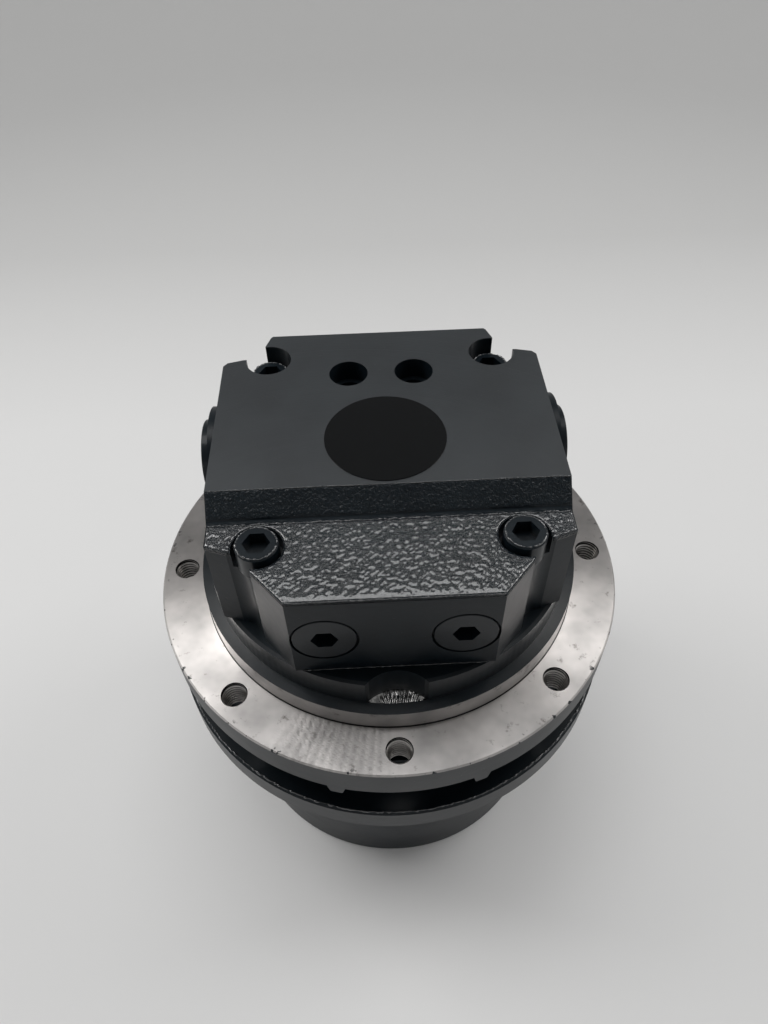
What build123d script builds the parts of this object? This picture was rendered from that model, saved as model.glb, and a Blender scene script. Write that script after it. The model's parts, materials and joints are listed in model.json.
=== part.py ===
# Excavator final drive: an axial piston travel motor in a fixed spindle, with a
# two-stage planetary gear that turns the sprocket hub around it.
# Millimetres. The origin is on the drive axis, on the face that bolts to the track
# frame. +Z points up to the motor's end cover, -Y is the side with the two round plugs.

import os
from math import acos, cos, degrees, pi, radians, sin, tan

from build123d import *

os.makedirs("parts", exist_ok=True)

# Clearances
running = 0.05  # radial, of a shaft or plunger in its bore
thread_play = 0.4  # radial, of a screw in a plain hole
face_gap = 0.3  # between faces that turn or slide past each other
housing_gap = 1.0  # between the fixed housing and the turning hub
head_bevel = 0.08  # of a screw head's top edge, as a share of its height
rim_tolerance = 0.001  # in telling a rim by its radius

# Rotating group of the motor
piston_circle = 30
piston_count = 9
bore_wall = 4.5  # between two cylinder bores
block_rim = 4  # outside the cylinder bores
block_head = 8  # above the cylinder bores
block_gap = 12  # from the balls' plane up to the block
piston_shoulder = 2  # from the piston's side to its ball's side
piston_skirt = 7.5  # from the ball's centre up to the piston's skirt
piston_head_room = 5.5
neck_share = 0.7  # of the piston's neck in its ball
ball_rise = 24  # of the balls' plane above the cavity's floor
shoe_wall = 1.4
shoe_height = 7
shoe_spacing = 2.9  # between two slippers
shoe_flange_height = 2.4
shoe_lip = 1  # above the ball's centre, crimped over it
retainer_rim = 3.6
retainer_thickness = 2
guide_wall = 4.5
guide_half_length = 8
swash_angle = radians(15)
swash_rim = 7
swash_play = 3
valve_plate_thickness = 3
valve_plate_rim = 7.5
kidney_inset = 3
kidney_width = 7
kidney_angle = 130
kidney_port_depth = 16
kidney_drill_radius = 5

# Motor shaft with its bearings and seal
shaft_top_radius = 10
shaft_step = 1
shaft_wall = 5.5
bearing_seat_step = 2
shaft_shoulder = 3
shaft_tip = 1  # above the upper bush
shaft_end_inset = 4
stem_step = 1.2  # below the sun gear's roots
stem_grip = 24
top_bush_wall = 3
top_bush_length = 14
low_bearing_section = 11
low_bearing_width = 12
bearing_ring_share = 0.3
shaft_roller_count = 12
seal_pocket_width = 7
seal_pocket_depth = 7
seal_land = 1
seal_shell = 1.2
seal_shoulder = 4
swash_bore_play = 0.5

# Parking brake
brake_disc_count = 2
brake_room = 13  # from the cylinder block to the cavity's wall
brake_ledge_depth = 22
plate_thickness = 2.4
plate_gap = 0.3
disc_play = 4.5
plate_bore_play = 2
brake_piston_play = 3
brake_travel = 1.5
brake_spring_rise = 2.5
spring_plate_thickness = 1.2

# Planetary gears
module = 2.25
pressure_angle = radians(20)
ring_teeth = 66
sun_teeth = 12
planet_teeth = 27
second_sun_teeth = 18
second_planet_teeth = 24
planet_count = 3
tooth_addendum = 0.8
tooth_dedendum = 1.25
tooth_play = 0.1
flank_steps = 2
second_planet_drop = 3
second_planet_width = 20
first_planet_drop = 1.5
first_planet_width = 10
carrier_drop = 1.3
carrier_thickness = 5.5
carrier_rim = 4
carrier_window = 9
sun_overhang = 1.5
second_sun_play = 2.5
first_pin_radius = 7
second_pin_radius = 9.5
bush_wall = 2
pin_grip = 14
pin_head = 2.4
pin_wall = 5.75

# Main bearings on the spindle
spindle_wall = 7.45
bearing_section = 15.5
bearing_half_width = 10
bearing_shoulder = 5.5
spacer_length = 4
spacer_thickness = 4.5
cup_inset = 2.5
roller_radius = 3.6
roller_taper = 0.3
roller_inset = 6
roller_tilt = radians(13)
roller_count = 20
race_play = 0.08
rib_height = 1.4
cage_thickness = 1.2
cage_inset = 1
nut_width = 9.5
nut_thickness = 8
nut_slots = 8
nut_slot_width = 8
nut_slot_depth = 3.5
spindle_tip = 4  # below the nut

# Face seal between spindle and hub
seal_bore_play = 5
seal_ring_wall = 6
seal_cone_width = 5
seal_ring_play = 3.5
seal_ring_land = 1.5
seal_ring_height = 6
seal_face_play = 0.05
seal_drop = 11  # of the seal's face below the frame flange
seal_lap = 1
seal_chamber_depth = 10
seal_wall = 3.5
toric_radius = 2.7

# Frame flange and pilot of the spindle housing
pilot_wall = 6.5
pilot_height = 12
flange_width = 22.6
flange_thickness = 17
flange_edge_chamfer = 0.8
frame_bolt_offset = 11
frame_bolt_count = 8
frame_tap_radius = 6.2
tab_angles = (-71.6, -104.3)
tab_width = 8.4
tab_foot = 5.6
tab_height = 5.5
tab_depth = 6
tab_inset = 0.1
tab_round = 1.2

# Sprocket hub
hub_rim = 9
rim_gap = 2.5
hub_neck_length = 24.5
hub_overhang = 2
hub_rib_thickness = 3.5
sprocket_flange_thickness = 16
sprocket_edge_chamfer = 1.2
sprocket_pilot_step = 1.5
sprocket_pilot_length = 15
sprocket_bolt_offset = 10
sprocket_rim = 9.6
sprocket_bolt_count = 9
sprocket_tap_radius = 6.2
sprocket_tap_depth = 13

# Ring gear, hub cover and their screws and plugs
barrel_rim = 11.5
seam_chamfer = 0.8
ring_gear_overlap = 1
cover_step = 2
cover_hollow_inset = 12
cover_hollow_depth = 15
cover_floor_thickness = 12
cover_edge_round = 2
cover_recess_inset = 12
cover_recess_depth = 3
cover_boss_radius = 13
cover_boss_height = 8
hub_bolt_count = 12
hub_bolt_radius = 4
hub_bolt_wall = 2
hub_bolt_thread = 8
hub_head_radius = 6.5
hub_head_height = 8
hub_head_sink = 5
hub_screw_hex = 6
oil_plug_inset = 16
oil_plug_count = 3
oil_plug_radius = 8
oil_plug_flange_radius = 11.5
oil_plug_flange_height = 2.4
oil_plug_hex = 8
oil_plug_sink = 1
button_radius = 7
button_stem_radius = 4
button_stem = 6

# End cover, measured inwards from the round base and down from its top
pilot_land = 5.3
cover_base_height = 15
cover_height = 75.5
step_depth = 10.5
step_run = 10.3
side_inset = 12.4
front_inset = 9.7
rear_inset = 11.3
bolt_side_inset = 34.3
front_bolt_inset = 37.7
rear_bolt_inset = 30.7
step_offset = 12.3  # from the front screws back to the foot of the slope
front_shoulder = 11.4
rear_shoulder = 0.2
scallop_offset = 12.6
scallop_radius = 10.4
front_ear_shift = 1.8
rear_ear_shift = 1
ear_bevel = 3.5
ear_back_bevel = 4.3
ear_nose = 1.9
rear_nose = 1
notch_radius = 17.6
notch_offset = 10.1
notch_depth = 3
cover_seal_offset = 5
cover_ring_width = 2.4
cover_ring_play = 0.4

# Screws of the end cover
screw_radius = 6
screw_head_radius = 9
screw_head_height = 12
screw_hex = 10
screw_seat_depth = 9
screw_grip = 20
counterbore_play = 1.9

# Ports, plugs and counterbalance valve of the end cover
port_x = 15.6
port_inset = 12.7  # from the rear screws
port_radius = 9.2
port_depth = 10.5
port_drill_radius = 6.5
plug_x = 29
plug_drop = 27
front_plug_radius = 13.3
front_plug_height = 3
plug_gap = 1
plug_thread_radius = 10.5
plug_thread_length = 14
plug_hex = 10
cross_bore_radius = 8
passage_lap = 3  # of two drilled passages past each other's axis
spool_inset = 24.6  # from the ports
spool_drop = 27.5
spool_radius = 10
spool_land = 12
spool_waist = 7
side_boss_radius = 24.1
side_boss_height = 4.1
cap_radius = 18
cap_height = 4.1
cap_thread_radius = 14
cap_thread_length = 16
cap_hex = 17
spring_room = 16.4
spring_wire = 0.9
spring_radius = 7
spring_turns = 4
label_radius = 26.9
label_thickness = 0.4

# Derived sizes of the rotating group, the shaft and the motor cavity
half_spacing = piston_circle * sin(pi / piston_count)
piston_radius = half_spacing - bore_wall / 2 - running
ball_radius = piston_radius - piston_shoulder
piston_neck_radius = ball_radius * neck_share
shoe_neck_radius = ball_radius + shoe_wall
shoe_flange_radius = half_spacing - shoe_spacing / 2
block_radius = piston_circle + piston_radius + running + block_rim
retainer_radius = piston_circle + shoe_neck_radius + retainer_rim
kidney_radius = piston_circle - kidney_inset
valve_plate_radius = kidney_radius + kidney_width / 2 + valve_plate_rim
stem_radius = module * (sun_teeth / 2 - tooth_dedendum) - stem_step
shaft_seal_radius = stem_radius + running + shaft_wall
shaft_bearing_radius = shaft_seal_radius + bearing_seat_step
low_bearing_radius = shaft_bearing_radius + low_bearing_section
shaft_middle_radius = shaft_top_radius + shaft_step
shaft_block_radius = shaft_middle_radius + shaft_step
top_bush_radius = shaft_top_radius + running + top_bush_wall
guide_radius = shaft_middle_radius + guide_wall
seal_pocket_radius = shaft_seal_radius + seal_pocket_width
seal_shoulder_radius = shaft_seal_radius + seal_shoulder
swash_bore = shaft_bearing_radius + low_bearing_section * bearing_ring_share + swash_bore_play
swash_radius = retainer_radius + swash_rim
lower_cavity_radius = swash_radius + swash_play
cavity_radius = block_radius + brake_room
friction_disc_radius = cavity_radius - disc_play
brake_plate_bore = block_radius + plate_bore_play
brake_piston_bore = block_radius + brake_piston_play

# Derived radii from the gears outwards
planet_radius = module * (sun_teeth + planet_teeth) / 2
second_planet_radius = module * (second_sun_teeth + second_planet_teeth) / 2
ring_tip_radius = module * (ring_teeth / 2 - tooth_addendum)
ring_root_radius = module * (ring_teeth / 2 + tooth_dedendum)
planet_bore = first_pin_radius + bush_wall + running
second_planet_bore = second_pin_radius + bush_wall + running
pin_reach = second_planet_radius + second_pin_radius + pin_wall
journal_radius = max(cavity_radius + spindle_wall, pin_reach)
shoulder_radius = journal_radius + bearing_shoulder
bearing_outer_radius = journal_radius + bearing_section
roller_pitch_radius = journal_radius + bearing_section / 2
nut_radius = journal_radius + nut_width
seal_ring_bore = shoulder_radius + seal_bore_play
seal_ring_neck = seal_ring_bore + seal_ring_wall
seal_ring_radius = seal_ring_neck + seal_cone_width
seal_chamber_radius = seal_ring_radius + seal_ring_play
rim_bore = seal_chamber_radius + seal_wall + housing_gap
hub_neck_radius = rim_bore + hub_rim
hub_bolt_circle = max(ring_root_radius, bearing_outer_radius) + hub_bolt_radius + hub_bolt_wall
barrel_radius = hub_bolt_circle + barrel_rim
sprocket_pilot_radius = barrel_radius + sprocket_pilot_step
sprocket_bolt_circle = sprocket_pilot_radius + sprocket_bolt_offset
sprocket_flange_radius = sprocket_bolt_circle + sprocket_rim
cover_radius = barrel_radius - cover_step
cover_hollow_radius = hub_bolt_circle - cover_hollow_inset
cover_recess_radius = cover_hollow_radius - cover_recess_inset
oil_plug_circle = cover_recess_radius - oil_plug_inset
pilot_radius = seal_chamber_radius + pilot_wall
flange_radius = pilot_radius + flange_width
frame_bolt_circle = pilot_radius + frame_bolt_offset

# Derived heights, from the frame face down to the foot
flange_back = -flange_thickness
hub_top = flange_back - rim_gap
sprocket_flange_top = hub_top - hub_neck_length
seal_plane = flange_back - seal_drop
seal_wall_end = seal_plane + seal_lap
seal_ceiling = seal_plane + seal_chamber_depth
hub_floor = seal_plane - seal_chamber_depth
roller_length = 2 * bearing_half_width - roller_inset
cup_open_side = bearing_half_width - cup_inset
upper_bearing_height = hub_floor - bearing_half_width
lower_bearing_height = upper_bearing_height - 2 * bearing_half_width - spacer_length
nut_top = lower_bearing_height - bearing_half_width
spindle_end = nut_top - nut_thickness - spindle_tip
hub_end = nut_top - nut_thickness - hub_overhang
second_planet_top = spindle_end - second_planet_drop
second_planet_bottom = second_planet_top - second_planet_width
carrier_top = second_planet_bottom - face_gap - pin_head - carrier_drop
carrier_bottom = carrier_top - carrier_thickness
first_planet_top = carrier_bottom - first_planet_drop
first_planet_bottom = first_planet_top - first_planet_width
sun_bottom = first_planet_bottom - sun_overhang
ring_gear_end = first_planet_bottom - ring_gear_overlap
cover_floor = ring_gear_end - cover_hollow_depth
cover_end = cover_floor - cover_floor_thickness
thrust_face = cover_floor + cover_boss_height
button_height = sun_bottom - face_gap - thrust_face
bolt_seat = cover_end + hub_head_sink + hub_head_height

# Derived heights of the motor
seal_pocket_top = spindle_end + seal_pocket_depth
low_bearing_bottom = seal_pocket_top + seal_land
cavity_floor = low_bearing_bottom + low_bearing_width
shaft_end = spindle_end + shaft_end_inset
stem_top = shaft_end + stem_grip
ball_height = cavity_floor + ball_rise
block_bottom = ball_height + block_gap
valve_plate_bottom = pilot_height - valve_plate_thickness
cylinder_depth = valve_plate_bottom - running - block_head - block_bottom
swash_height = ball_height - shoe_height / cos(swash_angle)
swash_normal = (0, -sin(swash_angle), cos(swash_angle))
highest_skirt = ball_height + piston_skirt + piston_circle * tan(swash_angle)
piston_length = block_bottom + cylinder_depth - piston_head_room - highest_skirt
shaft_top = pilot_height + top_bush_length + shaft_tip
plate_ledge = -brake_ledge_depth
brake_piston_top = pilot_height - brake_travel - brake_spring_rise

# Derived outline of the end cover
cover_base_radius = pilot_radius - pilot_land
cover_groove_radius = cavity_radius + cover_seal_offset
cover_base_top = pilot_height + cover_base_height
cover_top = pilot_height + cover_height
shelf_height = cover_top - step_depth
block_half_width = cover_base_radius - side_inset
front_face = front_inset - cover_base_radius
rear_face = cover_base_radius - rear_inset
bolt_x = cover_base_radius - bolt_side_inset
front_bolt_y = front_bolt_inset - cover_base_radius
rear_bolt_y = cover_base_radius - rear_bolt_inset
front_half_width = bolt_x - front_shoulder
rear_half_width = bolt_x - rear_shoulder
scallop_x = bolt_x + scallop_offset
ear_front = front_bolt_y - front_ear_shift
ear_back = rear_bolt_y + rear_ear_shift
slope_front = front_bolt_y + step_offset
slope_back = slope_front + step_run
notch_centre = cover_base_radius + notch_offset
screw_seat = shelf_height - screw_seat_depth
plug_height = shelf_height - plug_drop
port_y = rear_bolt_y - port_inset
spool_y = port_y - spool_inset
spool_height = cover_top - spool_drop
side_boss_face = block_half_width + side_boss_height
cap_seat = side_boss_face - cap_thread_length
spool_half_length = cap_seat - spring_room
third = 2 * pi / planet_count
hex_share = 2 / 3**0.5
screw_spots = [(side * bolt_x, y) for y in (front_bolt_y, rear_bolt_y) for side in (-1, 1)]


def keep(label, piece):
    """Label a finished piece and write it to its own file."""
    piece.part.label = label
    export_step(piece.part, f"parts/{label}.step")


def rims(piece, radius):
    """The round edges of a part that have the given radius."""
    circles = piece.edges().filter_by(GeomType.CIRCLE)
    return ShapeList(edge for edge in circles if abs(edge.radius - radius) < rim_tolerance)


def turned(*profile):
    """Revolve a closed outline of (radius, height) corners about the drive axis."""
    with BuildPart() as piece:
        with BuildSketch(Plane.XZ):
            with BuildLine():
                Polyline(*profile, close=True)
            make_face()
        revolve(axis=Axis.Z)
    return piece


def collar(outer, inner, bottom, top):
    """A plain ring between two heights."""
    return turned((inner, bottom), (outer, bottom), (outer, top), (inner, top))


def socket_screw(shank, grip, head, head_height, across_flats, hex_depth):
    """A socket-head screw or plug along +Z, with the head's underside at height 0."""
    with BuildPart() as screw:
        Cylinder(shank, grip, align=(Align.CENTER, Align.CENTER, Align.MAX))
        Cylinder(head, head_height, align=(Align.CENTER, Align.CENTER, Align.MIN))
        chamfer(screw.edges().group_by(Axis.Z)[-1], length=head_height * head_bevel)
        with BuildSketch(Plane.XY.offset(head_height)):
            RegularPolygon(across_flats / 2 * hex_share, 6)
        extrude(amount=-hex_depth, mode=Mode.SUBTRACT)
    return screw


# Gear teeth

def tooth_flank(teeth, root, tip, widening):
    """(radius, half angle) pairs up one flank, an involute outside the base circle."""
    pitch = module * teeth / 2
    base = pitch * cos(pressure_angle)
    pitch_angle = pi / (2 * teeth) + tan(pressure_angle) - pressure_angle + widening / pitch
    start = max(root, base)
    radii = [root] + [start + (tip - start) * step / flank_steps for step in range(1, flank_steps + 1)]
    rolls = [acos(min(1, base / radius)) for radius in radii]
    return [(radius, pitch_angle - (tan(roll) - roll)) for radius, roll in zip(radii, rolls)]


def gear_outline(teeth, phase, widening, root=None, tip=None):
    """Corner points of a whole gear, with the middle of one tooth at the phase angle."""
    root = root or module * (teeth / 2 - tooth_dedendum)
    tip = tip or module * (teeth / 2 + tooth_addendum)
    flank = tooth_flank(teeth, root, tip, widening)
    points = []
    for tooth in range(teeth):
        middle = phase + 2 * pi * tooth / teeth
        points += [(r * cos(middle - half), r * sin(middle - half)) for r, half in flank]
        points += [(r * cos(middle + half), r * sin(middle + half)) for r, half in reversed(flank)]
    return points


def gear(teeth, phase, centre, top, width, bore):
    """A spur gear with a plain bore, its upper face at the given height."""
    with BuildPart() as wheel:
        with BuildSketch(Plane((*centre, top))):
            with BuildLine():
                Polyline(*gear_outline(teeth, phase, -tooth_play), close=True)
            make_face()
            Circle(bore, mode=Mode.SUBTRACT)
        extrude(amount=-width)
    return wheel


def planet_phase(angle, teeth):
    """Turns a planet so that its teeth enter the ring gear's spaces, one of which is at angle 0."""
    return angle - angle * ring_teeth / teeth


def sun_phase(teeth, planet):
    """Turns a sun so that its teeth enter the spaces of the planet at angle 0."""
    return pi * (planet - 1) / teeth


# Bearings

def race_line(offset, angle, height):
    """Radius of a conical raceway at a height above the bearing's middle."""
    return roller_pitch_radius + offset / cos(angle) + height * tan(angle)


def main_bearing(middle, side):
    """Inner ring, outer ring, rollers and cage, with the rollers' large ends on the given side."""
    half_cone = roller_taper / roller_length
    inner_angle = roller_tilt - half_cone
    outer_angle = roller_tilt + half_cone
    inner_offset = -(roller_radius + race_play)
    outer_offset = roller_radius + race_play
    rib = roller_length / 2 + roller_radius * sin(roller_tilt)
    half = bearing_half_width
    inner_small = race_line(inner_offset, inner_angle, -rib)
    inner_large = race_line(inner_offset, inner_angle, rib)
    inner = turned(
        (journal_radius, middle - side * half),
        (inner_small + rib_height / 2, middle - side * half),
        (inner_small + rib_height / 2, middle - side * rib),
        (inner_small, middle - side * rib),
        (inner_large, middle + side * rib),
        (inner_large + rib_height, middle + side * rib),
        (inner_large + rib_height, middle + side * half),
        (journal_radius, middle + side * half),
    )
    outer = turned(
        (bearing_outer_radius, middle - side * half),
        (bearing_outer_radius, middle + side * cup_open_side),
        (race_line(outer_offset, outer_angle, cup_open_side), middle + side * cup_open_side),
        (race_line(outer_offset, outer_angle, -half), middle - side * half),
    )
    large = roller_radius + roller_taper / 2
    small = roller_radius - roller_taper / 2
    ends = (small, large) if side > 0 else (large, small)
    tilt = (0, degrees(side * roller_tilt), 0)
    with BuildPart(Plane.XY.offset(middle)) as rollers:
        with PolarLocations(roller_pitch_radius, roller_count):
            Cone(*ends, roller_length, rotation=tilt)
    pockets = [end + race_play for end in ends]
    shell = [race_line(0, roller_tilt, height) for height in (-half, half - cage_inset)]
    with BuildPart(Plane.XY.offset(middle)) as cage:
        with BuildSketch(Plane.XZ):
            with BuildLine():
                Polyline(
                    (shell[0], middle - side * half),
                    (shell[0] + cage_thickness, middle - side * half),
                    (shell[1] + cage_thickness, middle + side * (half - cage_inset)),
                    (shell[1], middle + side * (half - cage_inset)),
                    close=True,
                )
            make_face()
        revolve(axis=Axis.Z)
        with PolarLocations(roller_pitch_radius, roller_count):
            Cone(*pockets, roller_length + 2 * race_play, rotation=tilt, mode=Mode.SUBTRACT)
    return inner, outer, rollers, cage


def shaft_bearing(bore, outside, top, width):
    """Inner ring, outer ring and rollers of a cylindrical roller bearing."""
    wall = (outside - bore) * bearing_ring_share
    inner = collar(bore + wall, bore, top - width, top)
    outer = collar(outside, outside - wall, top - width, top)
    middle = (bore + outside) / 2
    radius = (outside - bore) / 2 - wall - running
    with BuildPart(Plane.XY.offset(top - width / 2)) as rollers:
        with PolarLocations(middle, shaft_roller_count):
            Cylinder(radius, width - 2 * face_gap)
    return inner, outer, rollers


def kidney(middle):
    """A kidney-shaped port around the given angle, on the pistons' port circle."""
    with BuildSketch() as port:
        arc = CenterArc(
            (0, 0), kidney_radius, middle - kidney_angle / 2, kidney_angle, mode=Mode.PRIVATE
        )
        SlotArc(arc, kidney_width)
    return port.sketch


# Spindle housing: frame flange, pilot, motor cavity and bearing journal in one casting
with BuildPart() as spindle_housing:
    with BuildSketch(Plane.XZ):
        with BuildLine():
            Polyline(
                (cavity_radius, pilot_height),
                (pilot_radius, pilot_height),
                (pilot_radius, 0),
                (flange_radius, 0),
                (flange_radius, flange_back),
                (seal_chamber_radius + seal_wall, flange_back),
                (seal_chamber_radius + seal_wall, seal_wall_end),
                (seal_chamber_radius, seal_wall_end),
                (seal_chamber_radius, seal_ceiling),
                (shoulder_radius, seal_ceiling),
                (shoulder_radius, upper_bearing_height + bearing_half_width),
                (journal_radius, upper_bearing_height + bearing_half_width),
                (journal_radius, spindle_end),
                (seal_pocket_radius, spindle_end),
                (seal_pocket_radius, seal_pocket_top),
                (seal_shoulder_radius, seal_pocket_top),
                (seal_shoulder_radius, low_bearing_bottom),
                (low_bearing_radius, low_bearing_bottom),
                (low_bearing_radius, cavity_floor),
                (lower_cavity_radius, cavity_floor),
                (lower_cavity_radius, plate_ledge),
                (cavity_radius, plate_ledge),
                close=True,
            )
        make_face()
    revolve(axis=Axis.Z)
    chamfer(rims(spindle_housing, flange_radius).sort_by(Axis.Z)[-1], length=flange_edge_chamfer)
    with BuildSketch(Plane.XY):
        with PolarLocations(frame_bolt_circle, frame_bolt_count):
            Circle(frame_tap_radius)
    extrude(amount=-flange_thickness, mode=Mode.SUBTRACT)
    # Tapped holes for the end cover's screws
    with BuildSketch(Plane.XY.offset(pilot_height)):
        with Locations(*screw_spots):
            Circle(screw_radius)
    extrude(amount=-screw_grip, mode=Mode.SUBTRACT)
    # Groove of the cover's sealing ring
    with BuildSketch(Plane.XY.offset(pilot_height)):
        Circle(cover_groove_radius + cover_ring_width / 2 + cover_ring_play)
        Circle(cover_groove_radius - cover_ring_width / 2 - cover_ring_play, mode=Mode.SUBTRACT)
    extrude(amount=-cover_ring_width, mode=Mode.SUBTRACT)
    # Recess under the notch of the end cover
    with BuildSketch(Plane.XY.offset(pilot_height)):
        with Locations((0, -notch_centre)):
            Circle(notch_radius)
        Circle(cover_base_radius, mode=Mode.INTERSECT)
    extrude(amount=-notch_depth, mode=Mode.SUBTRACT)
    # Bores of the second planets' pins
    with BuildSketch(Plane.XY.offset(spindle_end)):
        with PolarLocations(second_planet_radius, planet_count):
            Circle(second_pin_radius)
    extrude(amount=pin_grip, mode=Mode.SUBTRACT)
    # Two cast tabs that hang from the flange's edge
    for angle in tab_angles:
        outward = Vector(1, 0, 0).rotate(Axis.Z, angle)
        foot = outward * (flange_radius - tab_inset) + Vector(0, 0, flange_back)
        with BuildSketch(Plane(foot, x_dir=outward.cross(Vector(0, 0, -1)), z_dir=outward)) as tab:
            with BuildLine():
                Polyline(
                    (-tab_width / 2, 0),
                    (-tab_foot / 2, -tab_height),
                    (tab_foot / 2, -tab_height),
                    (tab_width / 2, 0),
                    close=True,
                )
            make_face()
            fillet(tab.vertices().group_by(Axis.Y)[0], radius=tab_round)
        extrude(amount=-tab_depth)
keep("spindle_housing", spindle_housing)

# Sealing ring between the housing and the end cover
with BuildPart() as cover_seal:
    with BuildSketch(Plane.XZ):
        with Locations((cover_groove_radius, pilot_height - cover_ring_width / 2)):
            Circle(cover_ring_width / 2)
    revolve(axis=Axis.Z)
keep("cover_seal", cover_seal)

# End cover: a round base and a valve block with a lower front step
with BuildPart() as end_cover:
    with BuildSketch(Plane.XY.offset(pilot_height)):
        Circle(cover_base_radius)
    extrude(amount=cover_base_height)
    with BuildSketch(Plane.XY.offset(cover_base_top)):
        with BuildLine():
            Polyline(
                (0, front_face),
                (front_half_width, front_face),
                (scallop_x - scallop_radius, ear_front - scallop_radius),
            )
            CenterArc((scallop_x, ear_front - scallop_radius), scallop_radius, 90, 90)
            Polyline(
                (scallop_x, ear_front),
                (block_half_width, ear_front + ear_bevel),
                (block_half_width, ear_back - ear_back_bevel),
                (block_half_width - ear_nose, ear_back - ear_nose),
                (scallop_x, ear_back),
            )
            CenterArc((scallop_x, ear_back + scallop_radius), scallop_radius, 180, 90)
            Polyline(
                (scallop_x - scallop_radius, ear_back + scallop_radius),
                (rear_half_width, rear_face - rear_nose),
                (rear_half_width - rear_nose, rear_face),
                (0, rear_face),
            )
            mirror(about=Plane.YZ)
        make_face()
    extrude(amount=cover_top - cover_base_top)
    # Sloped step down to the front shelf
    with BuildSketch(Plane.YZ):
        with BuildLine():
            Polyline(
                (slope_back, cover_top),
                (slope_front, shelf_height),
                (2 * front_face, shelf_height),
                (2 * front_face, cover_top),
                close=True,
            )
        make_face()
    extrude(amount=2 * block_half_width, both=True, mode=Mode.SUBTRACT)
    # Round bosses of the counterbalance valve's end caps
    with BuildSketch(Plane.YZ.offset(-side_boss_face)):
        with Locations((spool_y, spool_height)):
            Circle(side_boss_radius)
    extrude(amount=2 * side_boss_face)
    # Counterbores and holes of the four screws
    with BuildSketch(Plane.XY.offset(screw_seat)):
        with Locations(*screw_spots):
            Circle(screw_head_radius + counterbore_play)
    extrude(amount=cover_top - screw_seat, mode=Mode.SUBTRACT)
    with BuildSketch(Plane.XY.offset(pilot_height)):
        with Locations(*screw_spots):
            Circle(screw_radius + thread_play)
    extrude(amount=cover_top - pilot_height, mode=Mode.SUBTRACT)
    # Round notch in the front of the base
    with BuildSketch(Plane.XY.offset(pilot_height)):
        with Locations((0, -notch_centre)):
            Circle(notch_radius)
    extrude(amount=cover_base_height, mode=Mode.SUBTRACT)
    # Two work ports on top, each with a narrower drilling to the valve bore
    with BuildSketch(Plane.XY.offset(cover_top)):
        with Locations((-port_x, port_y), (port_x, port_y)):
            Circle(port_radius)
    extrude(amount=-port_depth, mode=Mode.SUBTRACT)
    with BuildSketch(Plane.XY.offset(cover_top)):
        with Locations((-port_x, port_y), (port_x, port_y)):
            Circle(port_drill_radius)
    extrude(amount=plug_height - cover_top - passage_lap, mode=Mode.SUBTRACT)
    # Valve bore across the block, wider at both ends for the caps' threads
    with BuildSketch(Plane.YZ.offset(-side_boss_face)):
        with Locations((spool_y, spool_height)):
            Circle(spool_radius)
    extrude(amount=2 * side_boss_face, mode=Mode.SUBTRACT)
    for side in (-1, 1):
        with BuildSketch(Plane.YZ.offset(side * side_boss_face)):
            with Locations((spool_y, spool_height)):
                Circle(cap_thread_radius)
        extrude(amount=-side * cap_thread_length, mode=Mode.SUBTRACT)
    # Spot faces of the two front plugs, and their bores that reach back under the work ports
    with BuildSketch(Plane.XZ.offset(-front_face)):
        with Locations((-plug_x, plug_height), (plug_x, plug_height)):
            Circle(front_plug_radius + plug_gap)
    extrude(amount=-front_plug_height, mode=Mode.SUBTRACT)
    with BuildSketch(Plane.XZ.offset(-front_face)):
        with Locations((-plug_x, plug_height), (plug_x, plug_height)):
            Circle(plug_thread_radius)
    extrude(amount=-front_plug_height - plug_thread_length, mode=Mode.SUBTRACT)
    with BuildSketch(Plane.XZ.offset(-front_face)):
        with Locations((-plug_x, plug_height), (plug_x, plug_height)):
            Circle(cross_bore_radius)
    extrude(amount=front_face - port_y - passage_lap, mode=Mode.SUBTRACT)
    # Seat of the shaft's upper bush
    with BuildSketch(Plane.XY.offset(pilot_height)):
        Circle(top_bush_radius)
    extrude(amount=shaft_top + housing_gap - pilot_height, mode=Mode.SUBTRACT)
    # Kidney ports over the valve plate, each drilled up into a cross bore
    with BuildSketch(Plane.XY.offset(pilot_height)):
        for middle in (0, 180):
            add(kidney(middle))
    extrude(amount=kidney_port_depth, mode=Mode.SUBTRACT)
    with BuildSketch(Plane.XY.offset(pilot_height)):
        with Locations((-kidney_radius, 0), (kidney_radius, 0)):
            Circle(kidney_drill_radius)
    extrude(amount=plug_height - pilot_height, mode=Mode.SUBTRACT)
keep("end_cover", end_cover)

# Screws of the end cover
cover_screw = socket_screw(
    screw_radius,
    screw_seat - pilot_height + screw_grip,
    screw_head_radius,
    screw_head_height,
    screw_hex,
    screw_head_height / 2,
)
with BuildPart() as cover_screws:
    with Locations(*[(x, y, screw_seat) for x, y in screw_spots]):
        add(cover_screw.part)
keep("cover_screws", cover_screws)

# Flush plugs in the front face
front_plug = socket_screw(
    plug_thread_radius,
    plug_thread_length,
    front_plug_radius,
    front_plug_height,
    plug_hex,
    plug_thread_length / 2,
)
plug_seat = front_face + front_plug_height
with BuildPart(Plane.XZ) as front_plugs:
    with Locations((-plug_x, plug_height, -plug_seat), (plug_x, plug_height, -plug_seat)):
        add(front_plug.part)
keep("front_plugs", front_plugs)

# End caps of the counterbalance valve
end_cap = socket_screw(
    cap_thread_radius,
    cap_thread_length,
    cap_radius,
    cap_height,
    cap_hex,
    cap_thread_length / 2,
)
with BuildPart() as valve_caps:
    for side in (-1, 1):
        face = Plane((side * side_boss_face, spool_y, spool_height), z_dir=(side, 0, 0))
        with Locations(face):
            add(end_cap.part)
keep("valve_caps", valve_caps)

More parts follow.
